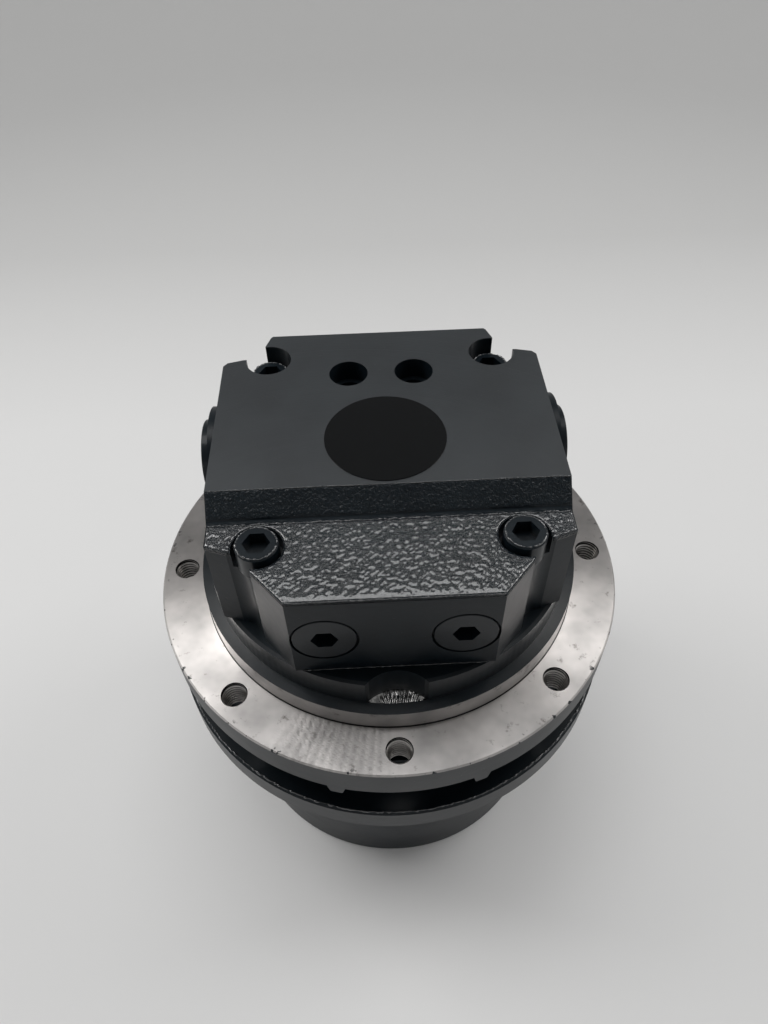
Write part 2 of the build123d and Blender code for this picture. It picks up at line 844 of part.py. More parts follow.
# Counterbalance spool and its two springs
spool_axis = Axis((0, spool_y, spool_height), (1, 0, 0))
spool_plane = Plane((0, spool_y, spool_height), x_dir=(1, 0, 0), z_dir=(0, -1, 0))
land_radius = spool_radius - running
with BuildPart() as counterbalance_spool:
    with BuildSketch(spool_plane):
        with BuildLine():
            Polyline(
                (-spool_half_length, 0),
                (-spool_half_length, land_radius),
                (-spool_half_length + spool_land, land_radius),
                (-spool_half_length + spool_land, spool_waist),
                (-spool_land, spool_waist),
                (-spool_land, land_radius),
                (spool_land, land_radius),
                (spool_land, spool_waist),
                (spool_half_length - spool_land, spool_waist),
                (spool_half_length - spool_land, land_radius),
                (spool_half_length, land_radius),
                (spool_half_length, 0),
                close=True,
            )
        make_face()
    revolve(axis=spool_axis)
keep("counterbalance_spool", counterbalance_spool)

for label, side in (("left_spool_spring", -1), ("right_spool_spring", 1)):
    start = spool_half_length + spring_wire
    length = spring_room - 2 * spring_wire
    with BuildPart() as spool_spring:
        with BuildLine() as coil:
            Helix(
                length / spring_turns,
                length,
                spring_radius,
                center=(side * start, spool_y, spool_height),
                direction=(side, 0, 0),
            )
        with BuildSketch(Plane(coil.line @ 0, z_dir=coil.line % 0)):
            Circle(spring_wire)
        sweep()
    keep(label, spool_spring)

# Round name plate on the machined top face, left blank
with BuildPart() as name_plate:
    with BuildSketch(Plane.XY.offset(cover_top)):
        Circle(label_radius)
    extrude(amount=label_thickness)
keep("name_plate", name_plate)

# Main bearings, spacer and nut
for place, height, side in (("upper", upper_bearing_height, 1), ("lower", lower_bearing_height, -1)):
    inner, outer, rollers, cage = main_bearing(height, side)
    keep(f"{place}_bearing_inner_ring", inner)
    keep(f"{place}_bearing_outer_ring", outer)
    keep(f"{place}_bearing_rollers", rollers)
    keep(f"{place}_bearing_cage", cage)

upper_bearing_bottom = upper_bearing_height - bearing_half_width
lower_bearing_top = lower_bearing_height + bearing_half_width
spacer = collar(journal_radius + spacer_thickness, journal_radius, lower_bearing_top, upper_bearing_bottom)
keep("bearing_spacer", spacer)

with BuildPart() as bearing_nut:
    with BuildSketch(Plane.XY.offset(nut_top)):
        Circle(nut_radius)
        Circle(journal_radius, mode=Mode.SUBTRACT)
        with PolarLocations(nut_radius, nut_slots):
            Rectangle(2 * nut_slot_depth, nut_slot_width, mode=Mode.SUBTRACT)
    extrude(amount=-nut_thickness)
keep("bearing_nut", bearing_nut)

# Face seal: two lapped rings, each pushed by a rubber ring in a conical seat
slope_run = seal_ring_radius - seal_ring_neck
slope_rise = seal_ring_height - seal_ring_land
slope_length = (slope_run**2 + slope_rise**2) ** 0.5
toric_reach = toric_radius + running
toric_centre = seal_chamber_radius - toric_reach
toric_rise = (toric_reach * slope_length - slope_rise * (toric_centre - seal_ring_radius)) / slope_run
for place, side in (("fixed", 1), ("turning", -1)):
    face = seal_plane + side * seal_face_play
    seal_ring = turned(
        (seal_ring_bore, face),
        (seal_ring_radius, face),
        (seal_ring_radius, face + side * seal_ring_land),
        (seal_ring_neck, face + side * seal_ring_height),
        (seal_ring_bore, face + side * seal_ring_height),
    )
    keep(f"{place}_seal_ring", seal_ring)
    with BuildPart() as toric:
        with BuildSketch(Plane.XZ):
            with Locations((toric_centre, face + side * (seal_ring_land + toric_rise))):
                Circle(toric_radius)
        revolve(axis=Axis.Z)
    keep(f"{place}_seal_rubber", toric)

# Hub: labyrinth rim, bearing seats, sprocket flange and barrel
rib_top = upper_bearing_height - bearing_half_width
rib_bottom = lower_bearing_height + bearing_half_width
flange_bottom = sprocket_flange_top - sprocket_flange_thickness
with BuildPart() as hub:
    with BuildSketch(Plane.XZ):
        with BuildLine():
            Polyline(
                (rim_bore, hub_top),
                (hub_neck_radius, hub_top),
                (hub_neck_radius, sprocket_flange_top),
                (sprocket_flange_radius, sprocket_flange_top),
                (sprocket_flange_radius, flange_bottom),
                (sprocket_pilot_radius, flange_bottom),
                (sprocket_pilot_radius, flange_bottom - sprocket_pilot_length),
                (barrel_radius, flange_bottom - sprocket_pilot_length),
                (barrel_radius, hub_end),
                (bearing_outer_radius, hub_end),
                (bearing_outer_radius, rib_bottom),
                (bearing_outer_radius - hub_rib_thickness, rib_bottom),
                (bearing_outer_radius - hub_rib_thickness, rib_top),
                (bearing_outer_radius, rib_top),
                (bearing_outer_radius, hub_floor),
                (seal_chamber_radius, hub_floor),
                (seal_chamber_radius, seal_wall_end - housing_gap),
                (rim_bore, seal_wall_end - housing_gap),
                close=True,
            )
        make_face()
    revolve(axis=Axis.Z)
    # Blind tapped holes from below, for the sprocket's screws
    with BuildSketch(Plane.XY.offset(flange_bottom)):
        with PolarLocations(sprocket_bolt_circle, sprocket_bolt_count):
            Circle(sprocket_tap_radius)
    extrude(amount=sprocket_tap_depth, mode=Mode.SUBTRACT)
    with BuildSketch(Plane.XY.offset(hub_end)):
        with PolarLocations(hub_bolt_circle, hub_bolt_count):
            Circle(hub_bolt_radius)
    extrude(amount=hub_bolt_thread, mode=Mode.SUBTRACT)
    chamfer(rims(hub, sprocket_flange_radius), length=sprocket_edge_chamfer)
    chamfer(rims(hub, barrel_radius).sort_by(Axis.Z)[0], length=seam_chamfer)
keep("hub", hub)

# Ring gear, clamped between the hub and its cover
with BuildPart() as ring_gear:
    with BuildSketch(Plane.XY.offset(hub_end)):
        Circle(barrel_radius)
        with BuildLine():
            Polyline(
                *gear_outline(ring_teeth, 0, tooth_play, ring_tip_radius, ring_root_radius),
                close=True,
            )
        make_face(mode=Mode.SUBTRACT)
        with PolarLocations(hub_bolt_circle, hub_bolt_count):
            Circle(hub_bolt_radius + thread_play, mode=Mode.SUBTRACT)
    extrude(amount=ring_gear_end - hub_end)
    chamfer(rims(ring_gear, barrel_radius), length=seam_chamfer)
keep("ring_gear", ring_gear)

# Hub cover with its thrust boss, screw counterbores and oil plug seats
recess_face = cover_end + cover_recess_depth
oil_plug_seat = recess_face + oil_plug_sink
with BuildPart() as hub_cover:
    with BuildSketch(Plane.XZ):
        with BuildLine():
            Polyline(
                (0, thrust_face),
                (cover_boss_radius, thrust_face),
                (cover_boss_radius, cover_floor),
                (cover_hollow_radius, cover_floor),
                (cover_hollow_radius, ring_gear_end),
                (cover_radius, ring_gear_end),
                (cover_radius, cover_end),
                (cover_recess_radius, cover_end),
                (cover_recess_radius, recess_face),
                (0, recess_face),
                close=True,
            )
        make_face()
    revolve(axis=Axis.Z)
    top_rim, foot_rim = rims(hub_cover, cover_radius).sort_by(Axis.Z, reverse=True)
    chamfer(top_rim, length=seam_chamfer)
    fillet(foot_rim, radius=cover_edge_round)
    with BuildSketch(Plane.XY.offset(ring_gear_end)):
        with PolarLocations(hub_bolt_circle, hub_bolt_count):
            Circle(hub_bolt_radius + thread_play)
    extrude(amount=cover_end - ring_gear_end, mode=Mode.SUBTRACT)
    with BuildSketch(Plane.XY.offset(bolt_seat)):
        with PolarLocations(hub_bolt_circle, hub_bolt_count):
            Circle(hub_head_radius + thread_play)
    extrude(amount=cover_end - bolt_seat, mode=Mode.SUBTRACT)
    with BuildSketch(Plane.XY.offset(recess_face)):
        with PolarLocations(oil_plug_circle, oil_plug_count):
            Circle(oil_plug_flange_radius + thread_play)
    extrude(amount=oil_plug_sink, mode=Mode.SUBTRACT)
    with BuildSketch(Plane.XY.offset(cover_floor)):
        with PolarLocations(oil_plug_circle, oil_plug_count):
            Circle(oil_plug_radius)
    extrude(amount=recess_face - cover_floor, mode=Mode.SUBTRACT)
    with BuildSketch(Plane.XY.offset(thrust_face)):
        Circle(button_stem_radius)
    extrude(amount=-button_stem, mode=Mode.SUBTRACT)
keep("hub_cover", hub_cover)

# Long screws through cover and ring gear into the hub
hub_screw = socket_screw(
    hub_bolt_radius,
    hub_end - bolt_seat + hub_bolt_thread,
    hub_head_radius,
    hub_head_height,
    hub_screw_hex,
    hub_head_height / 2,
)
with BuildPart(Plane((0, 0, bolt_seat), x_dir=(1, 0, 0), z_dir=(0, 0, -1))) as hub_cover_screws:
    with PolarLocations(hub_bolt_circle, hub_bolt_count):
        add(hub_screw.part)
keep("hub_cover_screws", hub_cover_screws)

# Oil filling, level and drain plugs
oil_plug = socket_screw(
    oil_plug_radius,
    cover_floor - oil_plug_seat,
    oil_plug_flange_radius,
    oil_plug_flange_height,
    oil_plug_hex,
    oil_plug_flange_height * 2,
)
with BuildPart(Plane((0, 0, oil_plug_seat), x_dir=(1, 0, 0), z_dir=(0, 0, -1))) as oil_plugs:
    with PolarLocations(oil_plug_circle, oil_plug_count):
        add(oil_plug.part)
keep("oil_plugs", oil_plugs)

# Thrust button that the floating sun gear runs against
with BuildPart() as thrust_button:
    with BuildSketch(Plane.XY.offset(thrust_face - button_stem)):
        Circle(button_stem_radius)
    extrude(amount=button_stem)
    with BuildSketch(Plane.XY.offset(thrust_face)):
        Circle(button_radius)
    extrude(amount=button_height)
keep("thrust_button", thrust_button)

# First gear stage: sun on the motor shaft, three planets on the first carrier
with BuildPart() as input_sun:
    with BuildSketch(Plane.XY.offset(stem_top)):
        Circle(stem_radius)
    extrude(amount=sun_bottom - stem_top)
    with BuildSketch(Plane.XY.offset(sun_bottom)):
        with BuildLine():
            Polyline(*gear_outline(sun_teeth, sun_phase(sun_teeth, planet_teeth), -tooth_play), close=True)
        make_face()
    extrude(amount=first_planet_width + sun_overhang)
keep("input_sun_gear", input_sun)

for number in range(planet_count):
    angle = number * third
    centre = (planet_radius * cos(angle), planet_radius * sin(angle))
    phase = planet_phase(angle, planet_teeth)
    planet = gear(planet_teeth, phase, centre, first_planet_top, first_planet_width, planet_bore)
    keep(f"first_planet_{number + 1}", planet)

second_sun_phase = sun_phase(second_sun_teeth, second_planet_teeth)
spline_tip = module * (second_sun_teeth / 2 + tooth_addendum) + tooth_play
with BuildPart() as first_carrier:
    with BuildSketch(Plane.XY.offset(carrier_top)):
        Circle(planet_radius + first_pin_radius + carrier_rim)
        with BuildLine():
            Polyline(*gear_outline(second_sun_teeth, second_sun_phase, 0, tip=spline_tip), close=True)
        make_face(mode=Mode.SUBTRACT)
        with PolarLocations(planet_radius, planet_count):
            Circle(first_pin_radius, mode=Mode.SUBTRACT)
        with PolarLocations(planet_radius, planet_count, start_angle=180 / planet_count):
            Circle(carrier_window, mode=Mode.SUBTRACT)
    extrude(amount=-carrier_thickness)
keep("first_carrier", first_carrier)

with BuildPart() as second_sun:
    with BuildSketch(Plane.XY.offset(second_planet_top)):
        with BuildLine():
            Polyline(*gear_outline(second_sun_teeth, second_sun_phase, -tooth_play), close=True)
        make_face()
        Circle(stem_radius + second_sun_play, mode=Mode.SUBTRACT)
    extrude(amount=carrier_bottom - second_planet_top)
keep("second_sun_gear", second_sun)

# Second gear stage: three planets on pins pressed into the spindle
for number in range(planet_count):
    angle = number * third
    centre = (second_planet_radius * cos(angle), second_planet_radius * sin(angle))
    phase = planet_phase(angle, second_planet_teeth)
    planet = gear(
        second_planet_teeth, phase, centre, second_planet_top, second_planet_width, second_planet_bore
    )
    keep(f"second_planet_{number + 1}", planet)


def planet_seat(circle, pin, root, top, bottom):
    """The three headed pins of one stage and the bushes that its planets turn on."""
    with BuildPart() as pins:
        with BuildSketch(Plane.XY.offset(root)):
            with PolarLocations(circle, planet_count):
                Circle(pin)
        extrude(amount=bottom - face_gap - root)
        with BuildSketch(Plane.XY.offset(bottom - face_gap)):
            with PolarLocations(circle, planet_count):
                Circle(pin + 2 * bush_wall)
        extrude(amount=-pin_head)
    with BuildPart() as bushes:
        with BuildSketch(Plane.XY.offset(top)):
            with PolarLocations(circle, planet_count):
                Circle(pin + bush_wall)
                Circle(pin, mode=Mode.SUBTRACT)
        extrude(amount=bottom - top)
    return pins, bushes


first_stage = (planet_radius, first_pin_radius, carrier_top, first_planet_top, first_planet_bottom)
pin_root = spindle_end + pin_grip
second_stage = (
    second_planet_radius, second_pin_radius, pin_root, second_planet_top, second_planet_bottom
)
for stage, seat in (("first", first_stage), ("second", second_stage)):
    pins, bushes = planet_seat(*seat)
    keep(f"{stage}_planet_pins", pins)
    keep(f"{stage}_planet_bushes", bushes)

# Motor shaft, bored at its lower end for the stem of the sun gear
shaft = turned(
    (0, shaft_top),
    (shaft_top_radius, shaft_top),
    (shaft_top_radius, pilot_height),
    (shaft_block_radius, pilot_height),
    (shaft_block_radius, block_bottom),
    (shaft_middle_radius, block_bottom),
    (shaft_middle_radius, cavity_floor + shaft_shoulder),
    (shaft_bearing_radius, cavity_floor + shaft_shoulder),
    (shaft_bearing_radius, low_bearing_bottom),
    (shaft_seal_radius, low_bearing_bottom),
    (shaft_seal_radius, shaft_end),
    (stem_radius + running, shaft_end),
    (stem_radius + running, stem_top + running),
    (0, stem_top + running),
)
keep("motor_shaft", shaft)

upper_bush = collar(
    top_bush_radius, shaft_top_radius + running, pilot_height, pilot_height + top_bush_length
)
keep("shaft_bush", upper_bush)
inner, outer, rollers = shaft_bearing(
    shaft_bearing_radius, low_bearing_radius, cavity_floor, low_bearing_width
)
keep("shaft_bearing_inner_ring", inner)
keep("shaft_bearing_outer_ring", outer)
keep("shaft_bearing_rollers", rollers)

# Lip seal between the motor's case oil and the gear oil
shaft_seal = turned(
    (seal_pocket_radius, spindle_end),
    (seal_pocket_radius, seal_pocket_top),
    (seal_pocket_radius - seal_shell, seal_pocket_top),
    (seal_pocket_radius - seal_shell, spindle_end + 2 * seal_shell),
    (shaft_seal_radius + 3 * seal_shell, spindle_end + 2 * seal_shell),
    (shaft_seal_radius + 2 * running, shaft_end + seal_shell),
    (shaft_seal_radius + 2 * running, shaft_end + seal_shell / 2),
    (shaft_seal_radius + seal_shell, spindle_end),
)
keep("shaft_seal", shaft_seal)

# Cylinder block and fixed valve plate
piston_spots = [2 * pi * number / piston_count for number in range(piston_count)]
with BuildPart() as cylinder_block:
    with BuildSketch(Plane.XY.offset(block_bottom)):
        Circle(block_radius)
        Circle(shaft_block_radius, mode=Mode.SUBTRACT)
    extrude(amount=valve_plate_bottom - running - block_bottom)
    with BuildSketch(Plane.XY.offset(block_bottom)):
        with PolarLocations(piston_circle, piston_count):
            Circle(piston_radius + running)
    extrude(amount=cylinder_depth, mode=Mode.SUBTRACT)
    with BuildSketch(Plane.XY.offset(block_bottom + cylinder_depth)):
        with PolarLocations(kidney_radius, piston_count):
            Circle(kidney_width / 2)
    extrude(amount=valve_plate_bottom - block_bottom, mode=Mode.SUBTRACT)
keep("cylinder_block", cylinder_block)

with BuildPart() as valve_plate:
    with BuildSketch(Plane.XY.offset(valve_plate_bottom)):
        Circle(valve_plate_radius)
        Circle(shaft_block_radius + housing_gap, mode=Mode.SUBTRACT)
        for middle in (0, 180):
            add(kidney(middle), mode=Mode.SUBTRACT)
    extrude(amount=valve_plate_thickness)
keep("valve_plate", valve_plate)

# Pistons at rest: each ball lies in the tilted plane that the swash plate sets
ball_spots = [
    (
        piston_circle * cos(angle),
        piston_circle * sin(angle),
        ball_height + piston_circle * sin(angle) * tan(swash_angle),
    )
    for angle in piston_spots
]
with BuildPart() as pistons:
    with Locations(*ball_spots):
        Sphere(ball_radius)
        Cylinder(piston_neck_radius, 2 * ball_radius, align=(Align.CENTER, Align.CENTER, Align.MIN))
    with Locations(*[(x, y, z + piston_skirt) for x, y, z in ball_spots]):
        Cylinder(piston_radius, piston_length, align=(Align.CENTER, Align.CENTER, Align.MIN))
keep("pistons", pistons)

# Slippers, held flat on the swash plate by the retainer plate and its ball guide
swash_frame = Plane((0, 0, ball_height), x_dir=(1, 0, 0), z_dir=swash_normal)
tilted_spots = [
    (piston_circle * cos(angle), piston_circle * sin(angle) / cos(swash_angle)) for angle in piston_spots
]
with BuildPart(swash_frame) as slippers:
    with Locations(*[(x, y, -shoe_height + running) for x, y in tilted_spots]):
        Cylinder(shoe_flange_radius, shoe_flange_height, align=(Align.CENTER, Align.CENTER, Align.MIN))
        Cylinder(shoe_neck_radius, shoe_height + shoe_lip, align=(Align.CENTER, Align.CENTER, Align.MIN))
    with Locations(*tilted_spots):
        Sphere(ball_radius + running, mode=Mode.SUBTRACT)
keep("slippers", slippers)

retainer_height = shoe_flange_height + 2 * running - shoe_height
with BuildPart() as retainer_plate:
    with BuildSketch(swash_frame.offset(retainer_height)):
        Circle(retainer_radius)
        Circle(guide_radius, mode=Mode.SUBTRACT)
        with Locations(*tilted_spots):
            Circle(shoe_neck_radius + face_gap, mode=Mode.SUBTRACT)
    extrude(amount=retainer_thickness)
keep("retainer_plate", retainer_plate)

with BuildPart() as retainer_guide:
    with BuildSketch(Plane.XZ):
        with Locations((0, ball_height)):
            Circle(guide_radius - running)
        with Locations((shaft_middle_radius + guide_wall / 2, ball_height)):
            Rectangle(guide_wall, 2 * guide_half_length, mode=Mode.INTERSECT)
    revolve(axis=Axis.Z)
keep("retainer_guide", retainer_guide)

# Fixed swash plate on the floor of the cavity
with BuildPart() as swash_plate:
    with BuildSketch(Plane.XY.offset(cavity_floor)):
        Circle(swash_radius)
        Circle(swash_bore, mode=Mode.SUBTRACT)
    extrude(amount=swash_radius)
    split(bisect_by=Plane((0, 0, swash_height), z_dir=swash_normal), keep=Keep.BOTTOM)
keep("swash_plate", swash_plate)

# Parking brake: discs on the cylinder block, plates and piston in the housing
disc_pitch = plate_thickness + plate_gap
stack = [plate_ledge + running + number * disc_pitch for number in range(brake_disc_count * 2)]
with BuildPart() as brake_plates:
    for bottom in stack[0::2]:
        with BuildSketch(Plane.XY.offset(bottom)):
            Circle(cavity_radius - running)
            Circle(brake_plate_bore, mode=Mode.SUBTRACT)
        extrude(amount=plate_thickness)
keep("brake_plates", brake_plates)

with BuildPart() as friction_discs:
    for bottom in stack[1::2]:
        with BuildSketch(Plane.XY.offset(bottom)):
            Circle(friction_disc_radius)
            Circle(block_radius, mode=Mode.SUBTRACT)
        extrude(amount=plate_thickness)
keep("friction_discs", friction_discs)

brake_face = stack[-1] + disc_pitch
brake_piston = collar(cavity_radius - running, brake_piston_bore, brake_face, brake_piston_top)
keep("brake_piston", brake_piston)

spring_outer = cavity_radius - housing_gap
spring_inner = brake_piston_bore + housing_gap
brake_spring = turned(
    (spring_inner, pilot_height - spring_plate_thickness),
    (spring_inner, pilot_height),
    (spring_outer, brake_piston_top + spring_plate_thickness),
    (spring_outer, brake_piston_top),
)
keep("brake_spring", brake_spring)
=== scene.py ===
import json
import math

import bpy
import numpy as np
from mathutils import Matrix, Vector


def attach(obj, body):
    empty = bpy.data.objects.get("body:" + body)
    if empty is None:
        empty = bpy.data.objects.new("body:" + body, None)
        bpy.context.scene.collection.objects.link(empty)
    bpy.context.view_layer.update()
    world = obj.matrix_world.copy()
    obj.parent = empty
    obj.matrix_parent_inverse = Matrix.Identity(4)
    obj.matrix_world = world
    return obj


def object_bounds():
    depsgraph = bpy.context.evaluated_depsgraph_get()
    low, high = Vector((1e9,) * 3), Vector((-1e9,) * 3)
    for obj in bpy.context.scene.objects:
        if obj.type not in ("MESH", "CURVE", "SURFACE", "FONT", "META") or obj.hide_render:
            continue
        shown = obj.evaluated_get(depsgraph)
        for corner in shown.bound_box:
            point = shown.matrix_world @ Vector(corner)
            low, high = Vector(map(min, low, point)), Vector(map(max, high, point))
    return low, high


# Excavator final drive, in metres, in the frame of its solids: Z is the drive axis,
# z = 0 is the bare ring face that bolts to the track frame, -Y is the front.

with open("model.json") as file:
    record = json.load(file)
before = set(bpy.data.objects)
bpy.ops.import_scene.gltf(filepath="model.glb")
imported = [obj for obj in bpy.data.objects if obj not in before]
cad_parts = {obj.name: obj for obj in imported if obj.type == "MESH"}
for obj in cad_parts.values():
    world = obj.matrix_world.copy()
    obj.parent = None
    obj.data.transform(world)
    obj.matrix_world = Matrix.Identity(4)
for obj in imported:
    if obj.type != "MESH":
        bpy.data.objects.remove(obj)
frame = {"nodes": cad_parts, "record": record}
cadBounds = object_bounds()
nodes = frame["nodes"]
mm = 0.001
print("frame loaded,", len(nodes), "nodes")


# Shader maths

class Wire:
    # One socket of a material. Operators between wires and numbers add Math nodes.
    def __init__(self, tree, socket=None):
        self.tree = tree
        self.socket = socket

    def node(self, kind, settings, sockets, out=0):
        # Adds any node: its settings first, then a value or a link for each socket named.
        added = self.tree.nodes.new(kind)
        for name, value in settings.items():
            setattr(added, name, value)
        for name, value in sockets.items():
            if isinstance(value, Wire):
                self.tree.links.new(value.socket, added.inputs[name])
            else:
                added.inputs[name].default_value = value
        return Wire(self.tree, added.outputs[out])

    def maths(self, operation, *others):
        sockets = dict(enumerate((self, *others)))
        return self.node("ShaderNodeMath", {"operation": operation}, sockets)

    def __add__(self, other):
        return self.maths("ADD", other)

    def __radd__(self, other):
        return self.maths("ADD", other)

    def __sub__(self, other):
        return self.maths("SUBTRACT", other)

    def __rsub__(self, other):
        return self.node("ShaderNodeMath", {"operation": "SUBTRACT"}, {0: other, 1: self})

    def __mul__(self, other):
        return self.maths("MULTIPLY", other)

    def __rmul__(self, other):
        return self.maths("MULTIPLY", other)

    def __pow__(self, other):
        return self.maths("POWER", other)

    def ramp(self, low, high):
        # 0 below low, 1 above high and an even slope between; low may be above high.
        sockets = {"Value": self, "From Min": low, "From Max": high}
        return self.node("ShaderNodeMapRange", {"clamp": True}, sockets)

    def within(self, low, high, soft):
        # 1 between low and high, with soft edges.
        return self.ramp(low - soft, low) * self.ramp(high + soft, high)

    def noise(self, place, scale, detail, rough=0.5):
        sockets = {"Vector": place, "Scale": scale, "Detail": detail, "Roughness": rough}
        return self.node("ShaderNodeTexNoise", {}, sockets)

    def point(self, x, y=0.0):
        # A vector from two numbers or wires, with z at 0.
        return self.node("ShaderNodeCombineXYZ", {}, {0: x, 1: y})

    def colours(self, first, second):
        # This wire as the factor between two colours.
        def asColour(value):
            return value if isinstance(value, Wire) else (*value, 1)
        sockets = {0: self, 6: asColour(first), 7: asColour(second)}
        return self.node("ShaderNodeMix", {"data_type": "RGBA"}, sockets, 2)


def objectPlace(wire):
    return wire.node("ShaderNodeTexCoord", {}, {}, "Object")


def coordinates(wire):
    # Object coordinates, and from them x, y, z, the radius and the angle about the drive axis.
    place = objectPlace(wire)
    x = wire.node("ShaderNodeSeparateXYZ", {}, {0: place}, 0)
    y = Wire(wire.tree, x.socket.node.outputs[1])
    z = Wire(wire.tree, x.socket.node.outputs[2])
    radius = (x * x + y * y) ** 0.5
    angle = y.maths("ARCTAN2", x)
    return place, x, y, z, radius, angle


def material(name, build, **fixed):
    # A Principled material; fixed values go on the shader's own sockets, build links the rest.
    made = bpy.data.materials.new(name)
    made.use_nodes = True
    shader = made.node_tree.nodes["Principled BSDF"]
    for label, value in fixed.items():
        shader.inputs[label.replace("_", " ")].default_value = value
    wire = Wire(made.node_tree)
    for label, value in build(wire).items():
        made.node_tree.links.new(value.socket, shader.inputs[label])
    return made


def bumps(wire, height, distance, under=None):
    # A height in units of the distance, on top of the normal that is already there.
    sockets = {"Height": height, "Distance": distance, "Strength": 1.0}
    if under:
        sockets["Normal"] = under
    return wire.node("ShaderNodeBump", {}, sockets)


# Finishes

paint = {
    "colour": (0.0035, 0.0065, 0.0095),
    "dusty": (0.0095, 0.0145, 0.0185),
    "roughness": 0.30,
    "specular": 0.24,
    "cast": 1.15,            # mm, height of the cast grain
    "castScale": (640, 1700),
}

coverFaces = {
    "shelf": (0.0752, 0.0782),      # m, heights of the rough shelf
    "shelfBack": (-0.0375, -0.0392),
    "slope": (0.0375, 0.06),        # m, height plus y on the rough slope
    "slopeFoot": (0.0785, 0.0793),
    "slopeTop": (0.0872, 0.0866),
    "top": (0.0870, 0.0874),        # m, the milled face starts here
    "turned": (0.087, 0.0895),      # m, radii of the turned foot
    "turnedTop": (0.028, 0.0265),
    "slopeGrain": 0.6,              # share of the shelf's grain on the slope
    "millCentre": (-0.02, -0.11),   # m, centre of the face mill's arcs
    "millArcs": 0.11,               # mm, their height
    "ribCount": 150,
    "ribs": 0.03,                   # mm, height of the ribs on the turned foot
    "skinTop": (0.0787, 0.0783),    # m, where the rough skin changes from the shelf's to the slope's
    "plate": (0.002, 0.0024, 0.0028),
    "plateDust": (0.03, 0.03, 0.03),
}

bareRing = {
    "steel": (0.60, 0.575, 0.56),
    "worn": (0.33, 0.32, 0.315),
    "stained": (0.20, 0.185, 0.175),
    "marked": (0.14, 0.135, 0.13),
    "foot": (0.002, 0.002, 0.002),  # painted shade: the dark line in the crease under the pilot
    "roughness": 0.32,
    "cut": 0.010,                   # mm, depth of the turning marks
    "chatter": 0.07,                # mm, depth of the radial chatter marks
    "chatterCount": 171,            # marks in a full turn
    "chatterArc": (-2.02, -1.66),   # radians
    "scratch": 0.01,                # mm
    "flecks": (0.1132, 0.1158),     # m, radii over which the paint flecks set in
    "inner": (0.0929, 0.0931),      # m, inner radius of the bare face
    "face": (-0.0007, 0.0004),      # m, heights that count as the bare face
    "pilot": (0.0007, 0.0116),      # m, heights of the pilot's bare side
    "pilotRadius": (0.0935, 0.0945),
    # m, heights and radii of the painted shade line in the crease at the pilot's foot
    "footShadeLine": (-0.0001, 0.0006),
    "footShadeRadius": (0.0937, 0.0944),
    "barrel": (0.0942, 0.0940),     # m, the ring gear's steel lies inside this radius
}


def paintCoat(wire, place, roughCast=None):
    # Dark blue-black gloss paint: orange peel, faint dust, small pits; grainy where roughCast is 1.
    peel = wire.noise(place, 240, 2, 0.4)
    cloud = wire.noise(place, 26, 4, 0.6)
    pits = wire.noise(place, 620, 1).ramp(0.76, 0.8)
    colour = cloud.ramp(0.35, 0.8).colours(paint["colour"], paint["dusty"])
    rough = cloud.ramp(0.3, 0.8) * 0.08 + paint["roughness"]
    height = peel * 0.05 - pits * 0.06
    if roughCast:
        coarse, fine = paint["castScale"]
        grain = wire.noise(place, coarse, 2, 0.6) + wire.noise(place, fine, 2, 0.6) * 0.3
        height = height + roughCast * grain * paint["cast"]
        rough = rough - roughCast * 0.14
    normal = bumps(wire, height, mm)
    return colour, rough, normal


def coverFinish(wire):
    # The end cover: gloss paint, cast grain on the shelf and the slope, face-mill arcs on top.
    place, x, y, z, radius, angle = coordinates(wire)
    faces, soft = coverFaces, 0.3 * mm
    shelf = z.within(*faces["shelf"], soft) * y.ramp(*faces["shelfBack"])
    slope = (z + y).within(*faces["slope"], soft) * z.ramp(*faces["slopeFoot"])
    slope = slope * z.ramp(*faces["slopeTop"])
    colour, rough, normal = paintCoat(wire, place, shelf + slope * faces["slopeGrain"])
    top = z.ramp(*faces["top"])
    millX, millY = faces["millCentre"]
    arcs = ((x - millX) ** 2 + (y - millY) ** 2) ** 0.5
    sweep = wire.noise(wire.point(arcs), 1900, 2, 0.7)
    turned = radius.within(*faces["turned"], soft) * z.ramp(*faces["turnedTop"])
    ribs = (angle * faces["ribCount"] + wire.noise(place, 40, 2) * 3).maths("SINE")
    cuts = sweep * top * faces["millArcs"] + ribs * turned * faces["ribs"]
    satin = top + turned * 0.8 + wire.noise(place, 14, 3) * top * 0.2
    return {
        "Base Color": colour,
        "Roughness": rough,
        "Coat Weight": (satin * 1.05).maths("MINIMUM", 1.0),
        "Normal": bumps(wire, cuts, mm, normal),
    }


def plainPaint(wire):
    colour, rough, normal = paintCoat(wire, objectPlace(wire))
    return {"Base Color": colour, "Roughness": rough, "Normal": normal}


def castPaint(wire):
    # Painted cast skin for the pieces that have the relief in their shape: full grain on the shelf,
    # three quarters of it on the slope above.
    place, x, y, z, radius, angle = coordinates(wire)
    relief = z.ramp(*coverFaces["skinTop"]) * 0.25 + 0.75
    colour, rough, normal = paintCoat(wire, place, relief)
    return {"Base Color": colour, "Roughness": rough, "Normal": normal}


